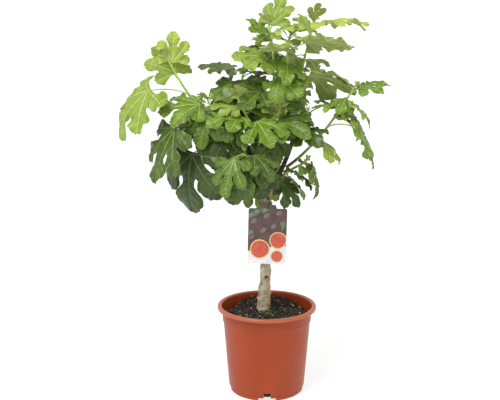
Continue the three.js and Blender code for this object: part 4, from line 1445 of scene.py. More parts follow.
@dataclass
class BladeShape:
    """Turns a leaf into a thin closed blade with toothed lobes, ribs and side veins."""

    thick: float = 0.0045
    seam_steps: int = 4
    tooth_steps: int = 3
    rows: tuple[float, ...] = (0.34, 0.7, 1.0)
    rib: float = 0.012  # half the width of a lobe's rib at its foot
    side_vein: float = 0.0036
    slant: float = 0.62
    bow: float = 0.12
    tooth: float = 0.017
    even: float = 2.0  # how soon the teeth reach their full size on the way from a cleft to the tip
    waist: tuple[float, float] = (0.36, 0.96)  # its place from cleft to shoulder, and its width
    puff: float = 0.024
    groove: float = 0.005
    ridge: float = 0.009
    wave: float = 0.062
    curl: float = 0.14
    soft: float = 0.02  # rounds the fold at the rib
    same: float = 1 / 20000  # points of two halves nearer than this are one

    def margin(self, sinus: Array, lobe: Lobe, dice: Dice) -> tuple[Array, Array]:
        """The edge of half a lobe from its sinus to its tip, in the lobe's own frame.

        Args:
            sinus: the point between this lobe and its neighbour.
            lobe: the lobe.
            dice: what makes its teeth uneven.

        Returns:
            The edge's points, and how far through its tooth each is, 0 at a side vein.
        """
        shoulder = np.array([lobe.length * SHOULDER, lobe.width])
        waist = np.array([mix(sinus[0], shoulder[0], self.waist[0]), sinus[1] * self.waist[1]])
        end = np.array([lobe.length * LOBE_END, lobe.end])
        tip = np.array([lobe.length, 0.0])
        mirrored = np.array([end[0], -end[1]])
        away = unit(sinus)
        back = waist - 2 * (waist - sinus - away * (waist - sinus).dot(away))
        steps = 12
        line = smooth_route([back, sinus, waist, shoulder, end, tip, mirrored], steps)[steps:-steps]
        far = np.concatenate([[0], np.cumsum(np.linalg.norm(np.diff(line, axis=0), axis=1))])
        narrow = self.side_vein / far[-1]
        shares, phases = [], []
        for tooth in range(lobe.teeth):
            start = tooth / lobe.teeth
            wide = (1 / lobe.teeth - narrow) / self.tooth_steps
            for k in range(self.tooth_steps + 1):
                shares.append(start + (narrow + wide * (k - 1) if k else 0))
                phases.append((k - 1) / self.tooth_steps if k else 0.0)
        shares.append(1.0)
        phases.append(1.0)
        at = np.array(shares) * far[-1]
        edge, ahead, behind = (on_line(line, far, at + step) for step in (0, 1e-3, -1e-3))
        way = ahead - behind
        way /= np.maximum(np.linalg.norm(way, axis=1), 1e-12)[:, None]
        out = np.stack([-way[:, 1], way[:, 0]], 1)
        sizes = [self.tooth * dice.between(0.55, 1.35) for _ in range(lobe.teeth)]
        sizes = np.repeat(sizes, self.tooth_steps + 1)
        push = np.append(sizes, 0) * np.maximum(np.sin(np.pi * np.array(phases)), 0) ** 0.8
        push *= np.clip(np.array(shares) * self.even, 0.1, 1)
        return edge + out * push[:, None], np.array(phases)

    @staticmethod
    def sinus(leaf: Leaf, number: int, side: int) -> Array:
        """The cleft beside a lobe, in the lobe's own frame.

        Args:
            leaf: the leaf.
            number: the lobe's number, 0 in the middle and negative on one side.
            side: 1 or -1, the side of the lobe.

        Returns:
            The cleft's point along the lobe and away from its rib.
        """
        lobes = leaf.lobes()
        lobe = lobes[abs(number)]
        if abs(number + side) < len(lobes):
            inner, outer = sorted((lobe, lobes[abs(number + side)]), key=lambda x: x.angle)
            sign = (1 if number > 0 else -1) if number else side
            seam = radians((inner.angle + outer.angle) / 2 * leaf.spread) * sign
            reach = min(inner.sinus * leaf.cleft, outer.length * SHALLOWEST)
        else:
            seam, reach = pi * side, LOBES[2].sinus
        apart = abs(seam - leaf.turn(number))
        return np.array([reach * cos(apart), reach * sin(apart)])

    def lobe(self, leaf: Leaf, number: int, dice: Dice) -> list[dict[str, Array]]:
        """Both halves of a lobe, which share its rib.

        Args:
            leaf: the leaf.
            number: the lobe's number, 0 in the middle and negative on one side.
            dice: what makes it uneven.

        Returns:
            The half on either side, as stitched gives it.
        """
        lobe = leaf.lobes()[abs(number)]
        clefts = [self.sinus(leaf, number, side) for side in (-1, 1)]
        edges = [self.margin(cleft, lobe, dice) for cleft in clefts]
        seams = [np.outer(np.arange(self.seam_steps) / self.seam_steps, cleft) for cleft in clefts]
        lines = [np.vstack([seam, edge]) for seam, (edge, _) in zip(seams, edges)]
        count = len(lines[0])
        spots = sum(line[:, 0] - self.slant * line[:, 1] for line in lines) / 2
        least = 0.003 * np.arange(count)
        spots = np.minimum(np.maximum.accumulate(np.maximum(spots, least)), lobe.length - least[::-1])
        spots[-1] = lobe.length
        rib = np.stack([spots, np.zeros(count)], 1)
        start = max(cleft[0] for cleft in clefts)
        bend = (start, self.curl * dice.between(-0.5, 1.0), leaf.turn(number))
        return [
            self.half(leaf, lobe, (line, phases), rib, bend, side, dice)
            for side, line, (_, phases) in zip((-1, 1), lines, edges)
        ]

    def half(
        self,
        leaf: Leaf,
        lobe: Lobe,
        outer: tuple[Array, Array],
        rib: Array,
        bend: Triple,
        side: int,
        dice: Dice,
    ) -> dict[str, Array]:
        """Half a lobe: its points for both faces of the blade, and its faces.

        Args:
            leaf: the leaf.
            lobe: the lobe.
            outer: its outer line from the foot of the seam to the tip, and the phases of its teeth.
            rib: the points of the rib that face the outer line's.
            bend: where the lobe's curl starts, how strong it is, and the lobe's turn in the blade.
            side: 1 or -1, the side of the rib.
            dice: what makes it uneven.

        Returns:
            Flat points, lifts and layers, then faces with the slot of each.
        """
        outer_line, phases = outer
        start, curl, turn = bend
        steps = self.seam_steps
        count = len(outer_line)
        span = outer_line - rib
        width = np.linalg.norm(span, axis=1)
        taper = 1 - 0.72 * rib[:, 0] / lobe.length
        first = np.clip(self.rib * taper / np.maximum(width, 1e-6), 0.02, 0.4)
        shares = np.stack([np.zeros(count), *[first + (1 - first) * r for r in (0.0, *self.rows)]], 1)
        flat = rib[:, None, :] + span[:, None, :] * shares[:, :, None]
        bulge = 4 * shares * (1 - shares)
        flat[:, :, 0] -= self.bow * bulge * width[:, None]
        on_edge = np.arange(count) >= steps
        phase = np.concatenate([np.zeros(steps), phases])
        past = np.clip((flat[:, :, 0] - start) / (lobe.length - start), 0, 1)
        far = np.concatenate([np.zeros(steps), np.linspace(0, 1, count - steps)])
        lift = leaf.fold * (np.sqrt(flat[:, :, 1] ** 2 + self.soft**2) - self.soft)
        lift += self.puff * bulge * (np.sin(np.pi * phase) * on_edge)[:, None]
        swing = np.sin(2 * np.pi * (far * dice.between(1.1, 1.9) + dice.draw())) * np.minimum(3 * far, 1)
        lift += self.wave * dice.between(0.4, 1.2) * shares**2 * (swing * (1 - far**6))[:, None]
        lift -= curl * past**2 * lobe.length
        top, under = lift.copy(), lift - self.thick
        top[:, 0] -= self.groove * taper
        under[:, 0] -= self.ridge * taper
        c, s = cos(turn), sin(turn)
        x, y = flat[:, :, 0], flat[:, :, 1] * side
        return self.stitched(np.stack([x * c - y * s, x * s + y * c], 2), top, under, side)

    def stitched(self, flat: Array, top: Array, under: Array, side: int) -> dict[str, Array]:
        """Joins the points of half a lobe with faces, top and bottom and along the margin."""
        count, across = flat.shape[:2]
        steps = self.seam_steps
        size = count * across
        points = np.vstack([flat.reshape(-1, 2)] * 2)
        lifts = np.concatenate([top.ravel(), under.ravel()])
        layers = np.repeat([0, 1], size)
        i, j = np.meshgrid(np.arange(count - 1), np.arange(across - 1), indexing="ij")
        i, j = i.ravel(), j.ravel()
        a, b = i * across + j, (i + 1) * across + j
        quads = np.stack([a, b, b + 1, a + 1], 1)
        vein = (j == 0) | ((i >= steps) & ((i - steps) % (self.tooth_steps + 1) == 0) & (i < count - 2))
        upper = np.where(vein, BladeSlot.UPPER_VEIN, BladeSlot.UPPER)
        under_side = BladeSlot.UNDER - BladeSlot.UPPER
        # The same two corners come first and third on both sides, so that both bend alike.
        lower = quads[:, [0, 3, 2, 1]] + size
        rim_i = np.arange(steps, count - 1)
        last = across - 1
        p, q = rim_i * across + last, (rim_i + 1) * across + last
        rim = np.stack([q, q + size, p + size, p], 1)
        faces = np.vstack([quads, lower, rim])
        if side < 0:
            faces = faces[:, ::-1]
        # The margin strip takes the pale under-vein finish: a painted highlight along the leaf's lit edge.
        slots = np.concatenate([upper, upper + under_side, np.full(len(rim), BladeSlot.UNDER_VEIN)])
        return {"flat": points, "lift": lifts, "layer": layers, "faces": faces, "slots": slots}

    def build(self, leaf: Leaf, seed: int) -> tuple[Array, Array, Array]:
        """The whole blade in space.

        Args:
            leaf: the leaf.
            seed: what its unevenness is drawn from.

        Returns:
            Points in millimetres, faces, and the slot of each face.
        """
        dice = Dice(seed)
        halves, count = [], 0
        lobes = len(leaf.lobes())
        for number in range(1 - lobes, lobes):
            for half in self.lobe(leaf, number, dice):
                half["faces"] = half["faces"] + count
                count += len(half["flat"])
                halves.append(half)
        whole = {name: np.concatenate([half[name] for half in halves]) for name in halves[0]}
        key = np.column_stack([np.round(whole["flat"] / self.same).astype(np.int64), whole["layer"]])
        _, first, twin = np.unique(key, axis=0, return_index=True, return_inverse=True)
        points = leaf.place(whole["flat"][first], whole["lift"][first])
        return points, *tidy_faces(twin.ravel()[whole["faces"]], whole["slots"])


def tidy_faces(faces: Array, slots: Array) -> tuple[Array, Array]:
    """Makes triangles of four-cornered faces that have lost a corner, and drops what lost two.

    Args:
        faces: four point numbers to a row.
        slots: the slot of each face.

    Returns:
        The faces, with -1 last on triangles, and their slots.
    """
    made = faces.copy()
    for k in range(4):
        twin = made[:, k] == made[:, (k + 1) % 4]
        for row in np.nonzero(twin)[0]:
            rest = list(dict.fromkeys(faces[row].tolist()))
            made[row] = [*rest, -1] if len(rest) == 3 else [-1] * 4
    kept = made[:, 0] >= 0
    return made[kept], slots[kept]


@dataclass(frozen=True)
class LeafTone:
    """The finishes of a leaf: upper side, underside, upper veins and lower veins."""

    name: str
    top: tuple[str, str]
    under: tuple[str, str]
    vein: str
    glow: str
    through: float
    gloss: float
    shine: float

    def materials(self) -> list[Material]:
        """The four finishes, in the order of a blade's slots."""
        top = LeafFinish(f"leaf_{self.name}", *self.top, self.glow, self.through, self.gloss, self.shine)
        under = LeafFinish(f"leaf_{self.name}_under", *self.under, self.glow, self.through, 0.6)
        veins = [VeinFinish(f"vein_{self.name}{end}", self.vein, self.glow) for end in ("", "_under")]
        return [finish.material() for finish in (top, under, *veins)]


# Leaf tones from lightest to darkest. As tone_of deals them out, the darker ones also stand for painted shade
# on low and inner leaves.
TONES = (
    LeafTone("fresh", ("bfd060", "a8bc4a"), ("ced984", "b9c86c"), "e2eab0", "c8d84c", 0.3, 0.42, 0.3),
    LeafTone("young", ("9eb84a", "88a138"), ("bcc978", "a7b664"), "d0da98", "b2c63a", 0.28, 0.4, 0.32),
    LeafTone("lush", ("7c9e2c", "658620"), ("a7b764", "92a35a"), "c4d28a", "98b42c", 0.26, 0.38, 0.38),
    LeafTone("full", ("69882e", "567023"), ("9bad5e", "86994e"), "aebf72", "84a028", 0.22, 0.36, 0.42),
    LeafTone("deep", ("566f24", "43591b"), ("889a56", "738644"), "8ea462", "648020", 0.18, 0.34, 0.44),
    LeafTone("old", ("41571c", "2f4113"), ("6e7e46", "5a6a36"), "6d834c", "50641a", 0.14, 0.33, 0.44),
)


@dataclass
class Crown:
    """Every leafy shoot: stem, buds, leaf stalks and blades."""

    rule: GrowthRule = field(default_factory=GrowthRule)
    blade: BladeShape = field(default_factory=BladeShape)
    base_radius: float = 3.9
    tip_radius: float = 2.1
    bud: float = 11
    stem_sides: int = 12
    stem_rings: int = 46
    stalk_radius: float = 1.35
    stalk_sides: int = 8
    stalk_rings: int = 14
    stalk_back: float = 0.05
    swelling: float = 0.2
    leaflets: int = 2
    age_and_painted_shade_inside: float = 1.1  # tones from a shoot's tip to its foot: older leaves, and painted shade on the inner crown
    inside_middle: float = 0.55
    painted_shade_below: float = 0.5  # painted shade: tones from the middle of the crown to its foot
    crown_middle: float = 720
    crown_half: float = 260
    tone_spare: float = 0.8
    first_dark: int = 4  # the first tone whose stalks are dark
    sharp: float = 62
    skins: tuple[SkinFinish, ...] = (
        SkinFinish("shoot_woody", "7d7a45", "5c5a35", 0.6),
        SkinFinish("shoot_green", "a5bd52", "86a140"),
        SkinFinish("shoot_fresh", "bcd566", "a3c050"),
        SkinFinish("leaf_stalk", "bfd672", "a0bc54"),
        SkinFinish("leaf_stalk_old", "8fa84e", "74903e"),
        SkinFinish("bud", "c4d873", "a8b650", 0.4),
    )

    def build(self, solids: dict[str, Piece]) -> None:
        """Dresses every shoot.

        Args:
            solids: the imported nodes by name.
        """
        tones = [tone.materials() for tone in TONES]
        skins = {skin.name: skin.material() for skin in self.skins}
        for number, (name, shoot) in enumerate(SHOOTS.items(), 1):
            node = f"foliage_{name}"
            leaves = self.rule.leaves(shoot, number, solids[node])
            blades, wood = MeshBag(), MeshBag()
            self.stem(wood, shoot, leaves, skins)
            dice = Dice(number * 1000)
            for i, leaf in enumerate(leaves):
                tone = self.tone_of(shoot, leaf, dice)
                self.add_blade(blades, leaf, number * 100 + i, tones[tone])
                skin = skins["leaf_stalk" if tone < self.first_dark else "leaf_stalk_old"]
                self.add_stalk(wood, leaf, skin, skins["bud"])
            for i, leaf in enumerate(self.unfolding(shoot, dice)):
                self.add_blade(blades, leaf, number * 100 + 50 + i, tones[0])
                self.add_stalk(wood, leaf, skins["leaf_stalk"], None)
            show(f"leaves_{name}", blades.mesh(f"leaves_{name}", self.sharp), [node])
            show(f"shoot_{name}", wood.mesh(f"shoot_{name}", self.sharp), [node])

    def tone_of(self, shoot: Shoot, leaf: Leaf, dice: Dice) -> int:
        """The number of a leaf's tone: lighter towards a shoot's tip and high in the crown, and by chance.
        The darker foot of a shoot is partly older leaves and partly painted shade. The darker lower crown is
        painted shade.
        """
        # Older leaves and painted shade of the inner crown make a shoot's lower leaves darker.
        value = shoot.tone.place + self.age_and_painted_shade_inside * (self.inside_middle - leaf.height)
        value += dice.signed(self.tone_spare)
        # Painted shade: leaves low in the crown get darker tones.
        value += self.painted_shade_below * (self.crown_middle - leaf.at[2]) / self.crown_half
        return int(min(max(round(value), 0), len(TONES) - 1))

    def add_blade(self, bag: MeshBag, leaf: Leaf, seed: int, finishes: Sequence[Material]) -> None:
        """Adds a leaf's blade to a piece."""
        points, faces, kinds = self.blade.build(leaf, seed)
        numbers = np.array([bag.slot(f) for f in finishes])
        bag.add_dressed(points, faces, numbers[kinds])

    def stem(self, bag: MeshBag, shoot: Shoot, leaves: Sequence[Leaf], skins: dict[str, Material]) -> None:
        """Adds a shoot's stem, swollen at its nodes, in stretches that get greener, and its end bud."""
        curve = shoot.curve()
        length = float(np.linalg.norm(np.array(shoot.tip) - np.array(shoot.start)))

        def radius(share: float) -> float:
            """The stem's radius at a share of its length."""
            away = [(share - leaf.height) * length / 3.2 for leaf in leaves]
            swell = max((exp(-(a**2)) for a in away), default=0)
            return mix(self.base_radius, self.tip_radius, share) * (1 + self.swelling * swell)

        shares = np.linspace(0, 1, self.stem_rings)
        points = np.array([curve.point(s) for s in shares])
        made, faces = tube(points, [radius(s) for s in shares], self.stem_sides)
        ring = np.minimum(faces[:, 0] // self.stem_sides, self.stem_rings - 1)
        middle = ring / self.stem_rings
        woody, green, fresh = (bag.slot(skins[f"shoot_{k}"]) for k in ("woody", "green", "fresh"))
        woody_end = 0.28 if shoot.tone.slot == "old_leaf" else 0.14
        kinds = np.where(middle < woody_end, woody, np.where(middle < 0.72, green, fresh))
        bag.add_dressed(made, faces, kinds)
        size = (self.bud, self.tip_radius * 1.12)
        self.add_bud(bag, curve.point(1), curve.tangent(1), size, skins["bud"])

    def add_bud(self, bag: MeshBag, at: Array, way: Array, size: tuple[float, float], skin: Material) -> None:
        """Adds a pointed bud with a slight hook.

        Args:
            bag: what it is added to.
            at: its foot.
            way: the direction it points in.
            size: its length and the radius of its foot.
            skin: its finish.
        """
        length, radius = size
        side = unit(np.cross(way, [0.3, 0.7, 0.2]))
        points, radii = [], []
        for share in np.linspace(-0.12, 1, 10):
            out = max(share, 0)
            points.append(at + way * length * share + side * length * 0.08 * share * share)
            belly = 0.86 + 0.2 * sin(pi * min(out * 2.2, 1))
            radii.append(radius * max(1 - out**1.25, 0.05) * belly)
        bag.add(*tube(np.array(points), radii, 8), skin)

    def add_stalk(self, bag: MeshBag, leaf: Leaf, skin: Material, bud: Material | None) -> None:
        """Adds a leaf's stalk from the middle of its blade into the stem, and the bud in its axil."""
        under = leaf.at - leaf.face * self.blade.thick * leaf.length
        heel = under - leaf.face * self.stalk_back * leaf.length - leaf.along * self.stalk_back * leaf.length
        t = np.linspace(0, 1, self.stalk_rings)[:, None]
        points = (1 - t) ** 3 * under + 3 * (1 - t) ** 2 * t * heel
        points = points + 3 * (1 - t) * t**2 * leaf.knee + t**3 * leaf.node
        radius = self.stalk_radius * (0.55 + 0.45 * min(leaf.length / 85, 1.1))
        radii = [radius * (1 + 0.25 * exp(-((s / 0.08) ** 2)) + 0.45 * s**6) for s in t[:, 0]]
        bag.add(*tube(points, radii, self.stalk_sides), skin)
        if bud is not None and leaf.length > 45:
            way = unit(leaf.knee - leaf.node)
            lean = unit(UP * 0.9 + way)
            self.add_bud(bag, leaf.node + way * 2.2 + UP * 1.2, lean, (5.2, 1.5), bud)

    def unfolding(self, shoot: Shoot, dice: Dice) -> list[Leaf]:
        """The smallest leaves, half folded beside a shoot's end bud."""
        curve = shoot.curve()
        way = curve.tangent(1)
        made = []
        turn = dice.draw() * 2 * pi
        side = unit(np.cross(way, [0.31, 0.52, 0.8]))
        other = np.cross(way, side)
        for k in range(self.leaflets):
            angle = turn + k * 2.4
            out = side * cos(angle) + other * sin(angle)
            along = unit(way * dice.between(1.0, 1.7) + out)
            face = unit(way - out * 0.9 - along * (way - out * 0.9).dot(along))
            node = curve.point(1) - way * (1.5 + 2.5 * k)
            length = dice.between(17, 27)
            at = node + unit(way + out) * dice.between(5, 9)
            made.append(
                Leaf(
                    node=node, knee=(node + at) / 2 + out, at=at,
                    along=along, across=np.cross(face, along), face=face,
                    length=length, spread=0.7, cleft=1, droop=14, fold=0.62, height=1,
                )
            )
        return made


# -------- label


@dataclass
class PictureLabel:
    """A printed card on a loop round the trunk, with a made-up pattern of round fruit and slices."""

    width: float = 92
    height: float = 136
    thick: float = 0.7
    corner: float = 5
    bottom: float = 323
    middle: tuple[float, float] = (-1.5, -18.6)
    tab_width: float = 40
    tab_height: float = 9
    hole_radius: float = 3.4
    hole_below_top: float = 7
    lean: float = 1.4
    ink: float = 0.02
    margin: float = 0.3  # the print keeps this far from the card's edge
    foot: float = 38  # where the white below the print ends
    tie_radius: float = 0.9
    tie_height: float = 466
    tie_sides: int = 10
    sharp: float = 40
    leaves: tuple[tuple[float, ...], ...] = (
        (-34, 122, 17, 35), (-6, 130, 14, -20), (32, 92, 17, 60), (-37, 72, 15, -50)
    )  # across, up, size and turn of each
    fruit: tuple[Triple, ...] = (
        (31, 121, 16), (2, 113, 16.5), (-28, 100, 17.5), (19, 88, 15), (-5, 78, 16.5), (-34, 62, 12)
    )
    slices: tuple[Triple, ...] = ((26, 58, 21), (-17, 36, 24), (24, 19, 15))
    card: PrintFinish = PrintFinish("card_white", "f1f0ee", "e4e5e6", 20)
    tie: PlasticFinish = PlasticFinish("tie_plastic", "59684a", "475438")
    inks: tuple[PrintFinish, ...] = (
        PrintFinish("print_shade", "665b47", "484032", 60),
        PrintFinish("print_leafage", "7c9474", "56694e", 90),
        PrintFinish("print_plum", "6a4b4a", "4a3a3b", 70),
        PrintFinish("print_bloom", "917c7c", "705c5c", 110),
        PrintFinish("print_rind", "ecd29a", "e0bd78", 90),
        PrintFinish("print_flesh", "da5c44", "c64432", 230),
        PrintFinish("print_seed", "e89a74", "df835f", 300),
    )

    def placed(self, flat: Array, forward: float) -> Array:
        """Points of the card's face, across and up from the middle of its foot, in space."""
        turn = radians(self.lean)
        x = flat[:, 0] * cos(turn) + flat[:, 1] * sin(turn)
        z = flat[:, 1] * cos(turn) - flat[:, 0] * sin(turn)
        return np.stack([self.middle[0] + x, np.full(len(x), self.middle[1] - forward), self.bottom + z], 1)

    def outline(self) -> Array:
        """The card's edge, with rounded corners and a tab on top."""
        w, t, r = self.width / 2, self.tab_width / 2, self.corner
        top = self.height + self.tab_height
        made = []

        def arc(x: float, y: float, start: float, radius: float, span: float = 90) -> None:
            """Adds a rounded corner round x and y, from the angle start on."""
            for k in range(7):
                a = radians(start + span * k / 6)
                made.append((x + radius * cos(a), y + radius * sin(a)))

        arc(w - r, r, -90, r)
        arc(w - r, self.height - r, 0, r)
        arc(t + 3, self.height + 3, -90, 3, -80)
        arc(t - r, top - r, 10, r, 80)
        arc(r - t, top - r, 90, r, 80)
        arc(-t - 3, self.height + 3, -10, 3, -80)
        arc(r - w, self.height - r, 90, r)
        arc(r - w, r, 180, r)
        return np.array(made)

    def hole(self) -> Array:
        """The rim of the punched hole, clockwise."""
        angles = np.linspace(2 * np.pi, 0, 29)[:-1]
        rise = self.height + self.tab_height - self.hole_below_top
        return np.stack([self.hole_radius * np.cos(angles), rise + self.hole_radius * np.sin(angles)], 1)

    def filled(self, edge: Array) -> tuple[Array, Array]:
        """The flat area between an edge and the punched hole.

        Args:
            edge: the points round the area, anticlockwise.

        Returns:
            The points of both rims, and triangles that face up.
        """
        rims = (edge, self.hole())
        flat = np.vstack(rims)
        found = tessellate_polygon([[Vector((x, y, 0)) for x, y in rim] for rim in rims])
        return flat, np.array([t if self.faces_up(flat, t) else t[::-1] for t in map(tuple, found)])

    def add_card(self, bag: MeshBag) -> None:
        """Adds the card itself: its two faces, its edge and the punched hole."""
        edge, hole = self.outline(), self.hole()
        flat, front = self.filled(edge)
        count = len(flat)
        points = np.vstack([self.placed(flat, self.thick / 2), self.placed(flat, -self.thick / 2)])
        sides = []
        for start, size in ((0, len(edge)), (len(edge), len(hole))):
            for k in range(size):
                a, b = start + k, start + (k + 1) % size
                sides.append([b, a, a + count, b + count])
        finish = self.card.material()
        bag.add(points, np.vstack([front, front[:, ::-1] + count]), finish)
        bag.add(points, np.array(sides), finish)

    @staticmethod
    def faces_up(flat: Array, t: Sequence[int]) -> bool:
        """Whether a flat triangle runs anticlockwise."""
        a, b, c = (flat[i] for i in t)
        return (b[0] - a[0]) * (c[1] - a[1]) - (b[1] - a[1]) * (c[0] - a[0]) > 0

    def build(self) -> None:
        """Shows the card, its print and its tie."""
        bag = MeshBag()
        self.add_card(bag)
        show("label_sheet", bag.mesh("label_sheet", self.sharp), ["label_card"])
        inks = MeshBag()
        self.add_print(inks)
        show("label_print", inks.mesh("label_print", self.sharp), ["label_card"])
        loop = MeshBag()
        loop.add(*self.loop(), self.tie.material())
        show("label_loop", loop.mesh("label_loop", 60), ["label_tie"])

    def add_shape(self, bag: MeshBag, rim: Array, layer: int, finish: Material) -> None:
        """Adds an inked area inside a closed rim, cut at the card's edge, as a thin raised sheet."""
        lines = np.array([self.clipped(p) for p in rim])
        centre = lines.mean(0)
        rings = [centre + (lines - centre) * s for s in (1.0, 0.75, 0.5, 0.25)]
        count = len(lines)
        forward = self.thick / 2 + self.ink * layer
        points = np.vstack([*[self.placed(r, forward) for r in rings], self.placed(centre[None, :], forward)])
        back = self.placed(lines, self.thick / 2 - 0.02)
        points = np.vstack([points, back])
        faces = grid_faces(len(rings), count, True)
        hub = len(rings) * count
        k = np.arange(count)
        n = (k + 1) % count
        skirt = np.stack([hub + 1 + k, hub + 1 + n, n, k], 1)
        bag.add(points, np.vstack([faces, fan(hub, hub - count, count), skirt]), finish)

    def clipped(self, p: Array) -> Array:
        """A point of the print, kept on the card."""
        half, gap = self.width / 2 - self.margin, self.margin
        x = float(np.clip(p[0], -half, half))
        y = float(np.clip(p[1], gap, self.height + self.tab_height - gap))
        if y > self.height - gap and abs(x) > self.tab_width / 2 - 0.5:
            y = self.height - gap
        return np.array([x, y])

    @staticmethod
    def disc(x: float, y: float, radius: float, squash: float = 1.0, turn: float = 0.0) -> Array:
        """The rim of a slightly uneven oval."""
        a = 2 * np.pi * np.arange(40) / 40
        r = radius * (1 + 0.015 * np.sin(3 * a + x))
        u, v = r * np.cos(a), r * squash * np.sin(a)
        c, s = cos(radians(turn)), sin(radians(turn))
        return np.stack([x + u * c - v * s, y + u * s + v * c], 1)

    def add_print(self, bag: MeshBag) -> None:
        """Prints a dark field over a white foot, leaves, whole round fruit and sliced ones."""
        inks = {ink.name: ink.material() for ink in self.inks}
        order = 1
        self.add_field(bag, inks["print_shade"])
        for x, y, size, turn in self.leaves:
            order += 1
            self.add_shape(bag, self.disc(x, y, size, 0.42, turn), order, inks["print_leafage"])
        for x, y, size in self.fruit:
            gleam = self.disc(x - size * 0.3, y + size * 0.3, size * 0.5, 0.66, 40)
            self.add_shape(bag, self.disc(x, y, size), order + 1, inks["print_plum"])
            self.add_shape(bag, gleam, order + 2, inks["print_bloom"])
            order += 2
        for spot in self.slices:
            order = self.add_slice(bag, spot, order, inks)

    def add_field(self, bag: MeshBag, finish: Material) -> None:
        """Adds the dark field behind the fruit, from its wavy foot up over the tab."""
        across = np.linspace(-self.width / 2, self.width / 2, 25)
        foot = np.stack([across, self.foot + 5 * np.sin(across / 15) + across * 0.12], 1)
        edge = self.outline()
        flat, faces = self.filled(np.vstack([foot, edge[edge[:, 1] > self.height / 2]]))
        bag.add(self.placed(flat, self.thick / 2 + self.ink), faces, finish)

    def add_slice(self, bag: MeshBag, spot: Triple, order: int, inks: dict[str, Material]) -> int:
        """Adds a sliced fruit: rind, flesh and a wheel of seeds.

        Args:
            bag: what it is added to.
            spot: its place across the card and up it, and its radius.
            order: how many inks already lie on the card.
            inks: the inks by name.

        Returns:
            How many inks lie on the card now.
        """
        x, y, size = spot
        self.add_shape(bag, self.disc(x, y, size), order + 1, inks["print_rind"])
        self.add_shape(bag, self.disc(x, y, size * 0.87), order + 2, inks["print_flesh"])
        for ring, count in ((0.62, 16), (0.38, 9)):
            for k in range(count):
                a = 2 * pi * (k + ring) / count
                u, v = x + size * ring * cos(a), y + size * ring * sin(a)
                rim = self.disc(u, v, size * 0.06, 0.6, degrees(a))
                self.add_shape(bag, rim, order + 3, inks["print_seed"])
        return order + 3

    def loop(self) -> tuple[Array, Array]:
        """The tie: round the back of the trunk, over the tab and back through its hole."""
        timber = Timber()
        share = timber.share_at(self.tie_height)
        axis = timber.axis(share)
        gap, r = 0.3, self.tie_radius
        reach = timber.radius(share) * 1.055 + 4 * gap + r

        def arc(azimuth: float) -> Triple:
            """A point of the loop round the trunk, which rises behind it."""
            a = radians(azimuth)
            lift = 8 * max(0, sin(a))
            return (axis[0] + reach * cos(a), axis[1] + reach * sin(a), self.tie_height + lift)

        top = self.bottom + self.height + self.tab_height
        hole_top = top - self.hole_below_top + self.hole_radius - r - gap
        hole = (self.middle[0] + sin(radians(self.lean)) * (self.height + 2), self.middle[1])
        front = hole[1] - 0.45 - r - gap
        route = [
            *(arc(a) for a in (-45, -15, 20, 55, 90, 125, 160, 195, 228)),
            (hole[0] - 3, hole[1] + 2.6, hole_top - 0.4),
            (hole[0], hole[1], hole_top - 0.6),
            (hole[0] + 1.8, front - 1, hole_top + 1),
            (hole[0] + 3.2, front - 0.6, hole_top + 6),
            (hole[0] + 5.2, hole[1] - 0.4, hole_top + 10.2),
            (hole[0] + 9, hole[1] + 3.4, hole_top + 9),
        ]
        line = smooth_route(route, 8, ring=True)
        return tube(line, [r] * len(line), self.tie_sides, ring=True)


# -------- studio


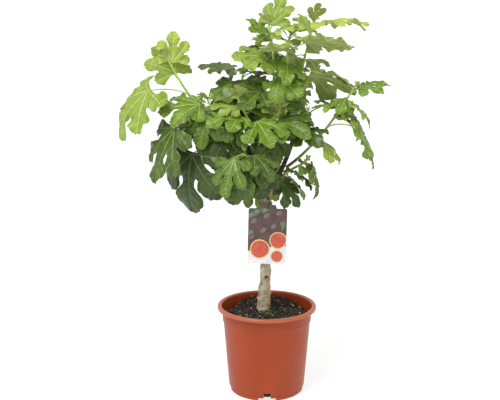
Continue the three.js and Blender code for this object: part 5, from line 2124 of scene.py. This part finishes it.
@dataclass
class Studio:
    """A white room with soft light from above and the left, and the camera."""

    eye: Triple = (-0.041, -2.380, 0.990)
    down: float = 12.2
    lens: float = 73.44
    floor_size: float = 60.0
    floor_level: float = -0.0004
    key_power: float = 2.4
    key_spread: float = 34.0
    key_way: Triple = (-0.4, -0.5, 1.0)
    sky_low: float = 1.04
    sky_high: float = 0.72
    floor_glow: float = 0.76
    cove: tuple[float, float] = (0.12, 0.6)  # the cove ends and the ceiling starts at these sines

    def camera(self) -> None:
        """Places the camera."""
        data = bpy.data.cameras.new("camera")
        data.lens = self.lens
        data.sensor_width = 36
        data.clip_end = 200
        seen = linked("camera", data)
        seen.location = self.eye
        seen.rotation_euler = (radians(90 - self.down), 0, 0)
        bpy.context.scene.camera = seen

    def floor(self) -> None:
        """Lays a large white floor, lit from inside like a light table."""
        half = self.floor_size / 2
        mesh = bpy.data.meshes.new("floor")
        corners = [(-half, -half), (half, -half), (half, half), (-half, half)]
        mesh.from_pydata([(x, y, self.floor_level) for x, y in corners], [], [(0, 1, 2, 3)])
        board = Board("floor_white")
        board.set(Base_Color=(0.3, 0.3, 0.3, 1), Roughness=0.9, Specular_IOR_Level=0.0)
        board.set(Emission_Color=(1, 1, 1, 1), Emission_Strength=self.floor_glow)
        mesh.materials.append(board.material)
        linked("floor", mesh)

    def sky(self) -> None:
        """Lights the room from a white cove round the horizon and a dimmer ceiling."""
        world = bpy.data.worlds.new("studio")
        bpy.context.scene.world = world
        world.use_nodes = True
        tree = world.node_tree
        place = tree.nodes.new("ShaderNodeTexCoord").outputs["Generated"]
        split = tree.nodes.new("ShaderNodeSeparateXYZ")
        tree.links.new(place, split.inputs[0])
        ramp = tree.nodes.new("ShaderNodeMapRange")
        ramp.interpolation_type = "SMOOTHSTEP"
        ramp.inputs["From Min"].default_value = self.cove[0]
        ramp.inputs["From Max"].default_value = self.cove[1]
        ramp.inputs["To Min"].default_value = self.sky_low
        ramp.inputs["To Max"].default_value = self.sky_high
        tree.links.new(split.outputs["Z"], ramp.inputs["Value"])
        tree.links.new(ramp.outputs["Result"], tree.nodes["Background"].inputs["Strength"])
        tree.nodes["Background"].inputs["Color"].default_value = (1, 1, 1, 1)

    def key(self) -> None:
        """Hangs the large soft light."""
        data = bpy.data.lights.new("key", "SUN")
        data.energy = self.key_power
        data.angle = radians(self.key_spread)
        lamp = linked("key", data)
        lamp.rotation_mode = "QUATERNION"
        lamp.rotation_quaternion = Vector(self.key_way).to_track_quat("Z", "Y")

    def build(self) -> None:
        """Sets up camera, floor and lights, and plain colour rendering."""
        self.camera()
        self.floor()
        self.sky()
        self.key()
        bpy.context.scene.view_settings.view_transform = "Standard"
        bpy.context.scene.view_settings.look = "None"
        log.info("studio")


def main() -> None:
    """Builds the tree around its frame, sub-assembly by sub-assembly."""
    logging.basicConfig(level=logging.INFO, format="%(name)s %(message)s")
    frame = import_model()
    Studio().build()
    Pot().build()
    Compost().build()
    Timber().build()
    Crown().build(frame["nodes"])
    PictureLabel().build()


if __name__ == "__main__":
    main()
